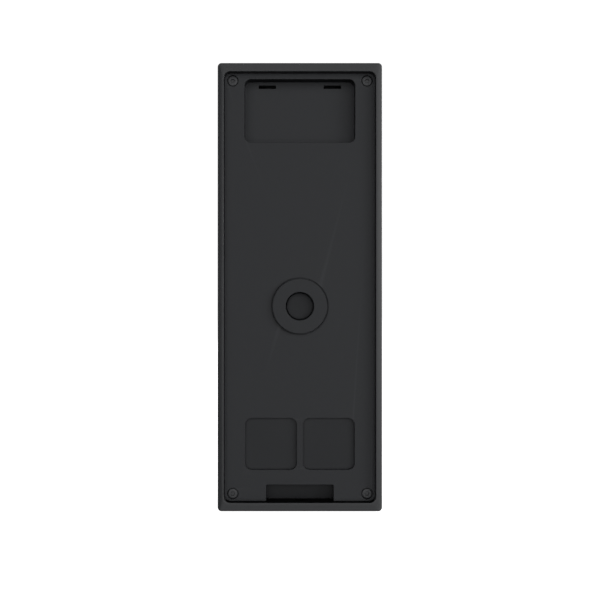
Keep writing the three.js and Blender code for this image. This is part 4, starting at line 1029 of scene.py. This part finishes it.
def bell_button():
    low, high = box_mm("bell_button")
    r, lip, wall = 12.3, (high.x - low.x) / 2, 1.2
    dish, dish_radius, steps = 0.22, 11.3, 10
    face = [(dish_radius * i / steps, low.y + dish * (1 - (i / steps) ** 2)) for i in range(steps + 1)]
    groove, y_groove, y_groove_end = r - 0.55, low.y + 1.1, low.y + 1.8
    y_inside, y_lip = low.y + 1.5, high.y - 0.8
    nub, y_nub = 1.5, y_inside + 1.2
    s = Shape()
    s.turned(softened([
        *face, (r, low.y, 0.5), (r, y_groove), (groove, y_groove), (groove, y_groove_end), (r, y_groove_end),
        (r, y_lip), (lip, y_lip), (lip, high.y), (r - wall, high.y), (r - wall, y_inside), (nub, y_inside),
        (nub, y_nub), (0, y_nub),
    ]), 0, button_z)
    return piece("bell_button", s)


def button_light_ring():
    low, high = box_mm("button_light_ring")
    bore, r, lip, edge, y_lip = 12.6, 13.8, (high.x - low.x) / 2, 0.25, high.y - 0.8
    s = Shape()
    s.turned(softened([
        (bore, high.y), (lip, high.y), (lip, y_lip), (r, y_lip), (r, low.y, edge), (bore, low.y, edge),
    ]), 0, button_z)
    return piece("button_light_ring", s)


def light_pipe():
    low, high = box_mm("light_pipe")
    r = (high.x - low.x) / 2
    s = Shape()
    s.turned(softened([(0, low.y), (r, low.y, 0.15), (r, high.y, 0.1), (0, high.y)]),
             0, centre_of("light_pipe").z, SMALL_SIDES)
    return piece("light_pipe", s)


# ---------- charging port


def charge_port_cover():
    low, high = box_mm("charge_port_cover")
    y = (low.y + high.y) / 2
    width, height, top = high.x - low.x, high.y - low.y, low.z + 0.9
    s = Shape(upright=True)
    lid = rounded_rect(width, height, height / 2, 0, y)
    edge, top_edge = 0.3, 0.12
    rings = s.loft(lid, softened([(edge, low.z), (0, low.z, edge), (0, top, top_edge), (top_edge, top)]))
    nail_edge, nail_fillet, nail_top = 0.15, 0.3, low.z + 0.45
    nail_width, nail_height, nail_x = 1.5, 3.6, width / 2 - 2.2
    nail = s.loft(rounded_rect(nail_width, nail_height, nail_width / 2, nail_x, y), softened([
        (-nail_edge, low.z), (0, low.z, nail_edge), (0, nail_top, nail_fillet), (nail_fillet, nail_top)
    ]))
    s.fill(rings[0], nail[0])
    s.fill(nail[-1])
    s.fill(rings[-1])
    plug_width, plug_height = 9.4, 3.6
    plug = rounded_rect(plug_width, plug_height, plug_height / 2, 0, y)
    ribs = ((0.3, 0), (0.05, 0), (0.05, 0.3), (0, 0.45), (0.12, 0.8), (0, 1.1), (0.12, 1.4))  # inset, depth
    walls = s.loft(plug, [(d, high.z - depth) for d, depth in ribs] + [(0.12, top - 0.1)])
    wall, mouth_edge = 0.9, 0.15
    hollow = s.loft(inset(plug, wall), softened([
        (-mouth_edge, high.z), (0, high.z, mouth_edge), (0, top + 0.1)
    ]))
    s.fill(walls[0], hollow[0])
    s.fill(hollow[-1])
    s.fill(walls[-1])
    return piece("charge_port_cover", s)


def charge_port():
    low, high = box_mm("charge_port")
    y = (low.y + high.y) / 2
    width, height, wall = high.x - low.x, high.y - low.y, 0.35
    shell = rounded_rect(width, height, height / 2, 0, y)
    s = Shape(upright=True)
    back = high.z - wall
    rings = s.loft(shell, softened([(wall / 2, low.z), (0, low.z, 0.12), (0, high.z, 0.15), (0.4, high.z)]))
    bore = s.loft(inset(shell, wall), softened([(-wall / 2, low.z), (0, low.z, 0.12), (0, back)]))
    s.strip(rings[0], bore[0])
    s.fill(rings[-1])
    s.fill(bore[-1])
    tongue = rounded_rect(width - 2.2, 0.8, 0.25, 0, y)
    s.prism(tongue, back, low.z + 0.7, 0.12)
    return piece("charge_port", s)


# ---------- all the pieces

casing()
rear_plate()
tamper_plunger()
for number in range(1, 5):
    plate_screw(f"plate_screw_{number}")
front_panel()
lens_trim_ring()
domed("lens_window", bulge=0.6, edge=0.15)
domed("lens_element", bulge=0.8)
lens_barrel()
for number in range(1, 5):
    domed(f"infrared_led_{number}", bulge=1.5)
light_pipe()
movement_sensor_lens()
bell_button()
button_light_ring()
charge_port_cover()
charge_port()

BUILT = {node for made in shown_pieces() if "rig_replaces" in made for node in made["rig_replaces"]}
EDGE_OF = {
    "tamper_spring": 0, "battery_lead": 0, "button_seal": 0, "speaker_cloth": 0.05, "image_sensor": 0.05,
    "radio_antenna": 0.05, "battery_pad": 0.4, "battery_pack": 0.6,
}
OTHER_EDGES = 0.1
for node in sorted(set(SLOT_OF) - BUILT):
    refined(node, EDGE_OF.get(node, OTHER_EDGES))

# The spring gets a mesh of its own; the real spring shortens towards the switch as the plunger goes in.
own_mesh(bpy.data.objects["tamper_spring_look"])
cloth = bpy.data.objects["speaker_cloth_look"]
cloth.data.materials[0] = woven("speaker_weave", (0.018, 0.018, 0.019))


# ---------- stage


def stage_floor():
    """A pale floor that glows, so that it reads as white and the object stands without a shadow edge."""
    half, gap = 3.0, 0.0002
    mesh = bmesh.new()
    level = cad_box[0].z - gap
    corners = ((-half, -half), (half, -half), (half, half), (-half, half))
    mesh.faces.new([mesh.verts.new((x, y, level)) for x, y in corners])
    data = bpy.data.meshes.new("floor")
    mesh.to_mesh(data)
    mesh.free()
    floor = bpy.data.objects.new("floor", data)
    bpy.context.scene.collection.objects.link(floor)
    pale = Finish("pale_floor", Roughness=0.9, Emission_Strength=1.0, Specular_IOR_Level=0.1)
    pale.shader.inputs["Emission Color"].default_value = (1, 1, 1, 1)
    mottle = pale.blend(pale.noise(40), (0.60, 0.60, 0.60, 1), (0.62, 0.62, 0.62, 1))
    floor.data.materials.append(pale.done(mottle))
    floor.visible_diffuse = False
    floor.visible_glossy = False


def area_light(name, place, aim, width, height, power):
    """An oval softbox, in metres and watts, that faces a point."""
    data = bpy.data.lights.new(name, "AREA")
    data.shape, data.size, data.size_y, data.energy = "ELLIPSE", width, height, power
    lamp = bpy.data.objects.new(name, data)
    lamp.location = place
    lamp.rotation_euler = (Vector(aim) - Vector(place)).to_track_quat("-Z", "Y").to_euler()
    bpy.context.scene.collection.objects.link(lamp)


def surroundings(strength, seen):
    """A dim room, lit on the street side towards its floor and ceiling. The camera sees a white backdrop.

    strength is the light of the dim part, and seen is the brightness of the backdrop.
    """
    world = bpy.data.worlds.new("room")
    bpy.context.scene.world = world
    world.use_nodes = True
    room = Nodes(world.node_tree)
    lit = room.tree.nodes["Background"]
    lit.inputs["Color"].default_value = (0.98, 0.99, 1.0, 1)
    direction = room.node("ShaderNodeSeparateXYZ")
    room.feed(direction.inputs["Vector"], room.node("ShaderNodeTexCoord").outputs["Generated"])
    towards_floor = room.spread(direction.outputs["Z"], 0.75, 0.16, -0.40, 0.02)
    towards_ceiling = room.spread(direction.outputs["Z"], 0.0, 0.7, 0.10, 0.75)
    on_street_side = room.spread(direction.outputs["Y"], 1.0, 0.0, -0.60, -0.05)
    street = room.combined(on_street_side, room.combined(towards_floor, towards_ceiling), "MULTIPLY")
    room.feed(lit.inputs["Strength"], room.combined(street, strength))
    backdrop = room.node("ShaderNodeBackground")
    backdrop.inputs["Color"].default_value = (1, 1, 1, 1)
    backdrop.inputs["Strength"].default_value = seen
    mix = room.node("ShaderNodeMixShader")
    room.feed(mix.inputs["Fac"], room.node("ShaderNodeLightPath").outputs["Is Camera Ray"])
    room.feed(mix.inputs[1], lit.outputs["Background"])
    room.feed(mix.inputs[2], backdrop.outputs["Background"])
    room.feed(room.tree.nodes["World Output"].inputs["Surface"], mix.outputs["Shader"])


CAMERA_DISTANCE = 0.333  # from the plane of the rim
VIEW_SIDE = 0.19090  # what the square frame spans in that plane
CAMERA_DROP = 0.00395
CAMERA_SIDE = 0.00011
SENSOR = 36
MIDDLE = (0, 0, 0)

stage_floor()
surroundings(strength=0.03, seen=1.05)
area_light("rear_softbox", (-0.32, 1.0, 0.11), (-0.24, 0, 0.02), width=2.4, height=1.4, power=12.7)
area_light("key_light", (-0.8, 0.55, 0.06), MIDDLE, width=0.5, height=0.5, power=2.0)
area_light("front_softbox", (0.6, -1.0, 0.6), MIDDLE, width=1.2, height=1.2, power=6)
area_light("rim_light", (-0.8, -0.04, 0.12), MIDDLE, width=0.16, height=0.16, power=4.5)
camera = bpy.data.cameras.new("camera")
camera.sensor_width = SENSOR
camera.lens = SENSOR * CAMERA_DISTANCE / VIEW_SIDE
camera.clip_start, camera.clip_end = 0.01, 20
viewer = bpy.data.objects.new("camera", camera)
viewer.location = (CAMERA_SIDE, CAMERA_DISTANCE, -CAMERA_DROP)
viewer.rotation_euler = (math.pi / 2, 0, math.pi)
bpy.context.scene.collection.objects.link(viewer)
bpy.context.scene.camera = viewer
bpy.context.scene.view_settings.view_transform = "Standard"
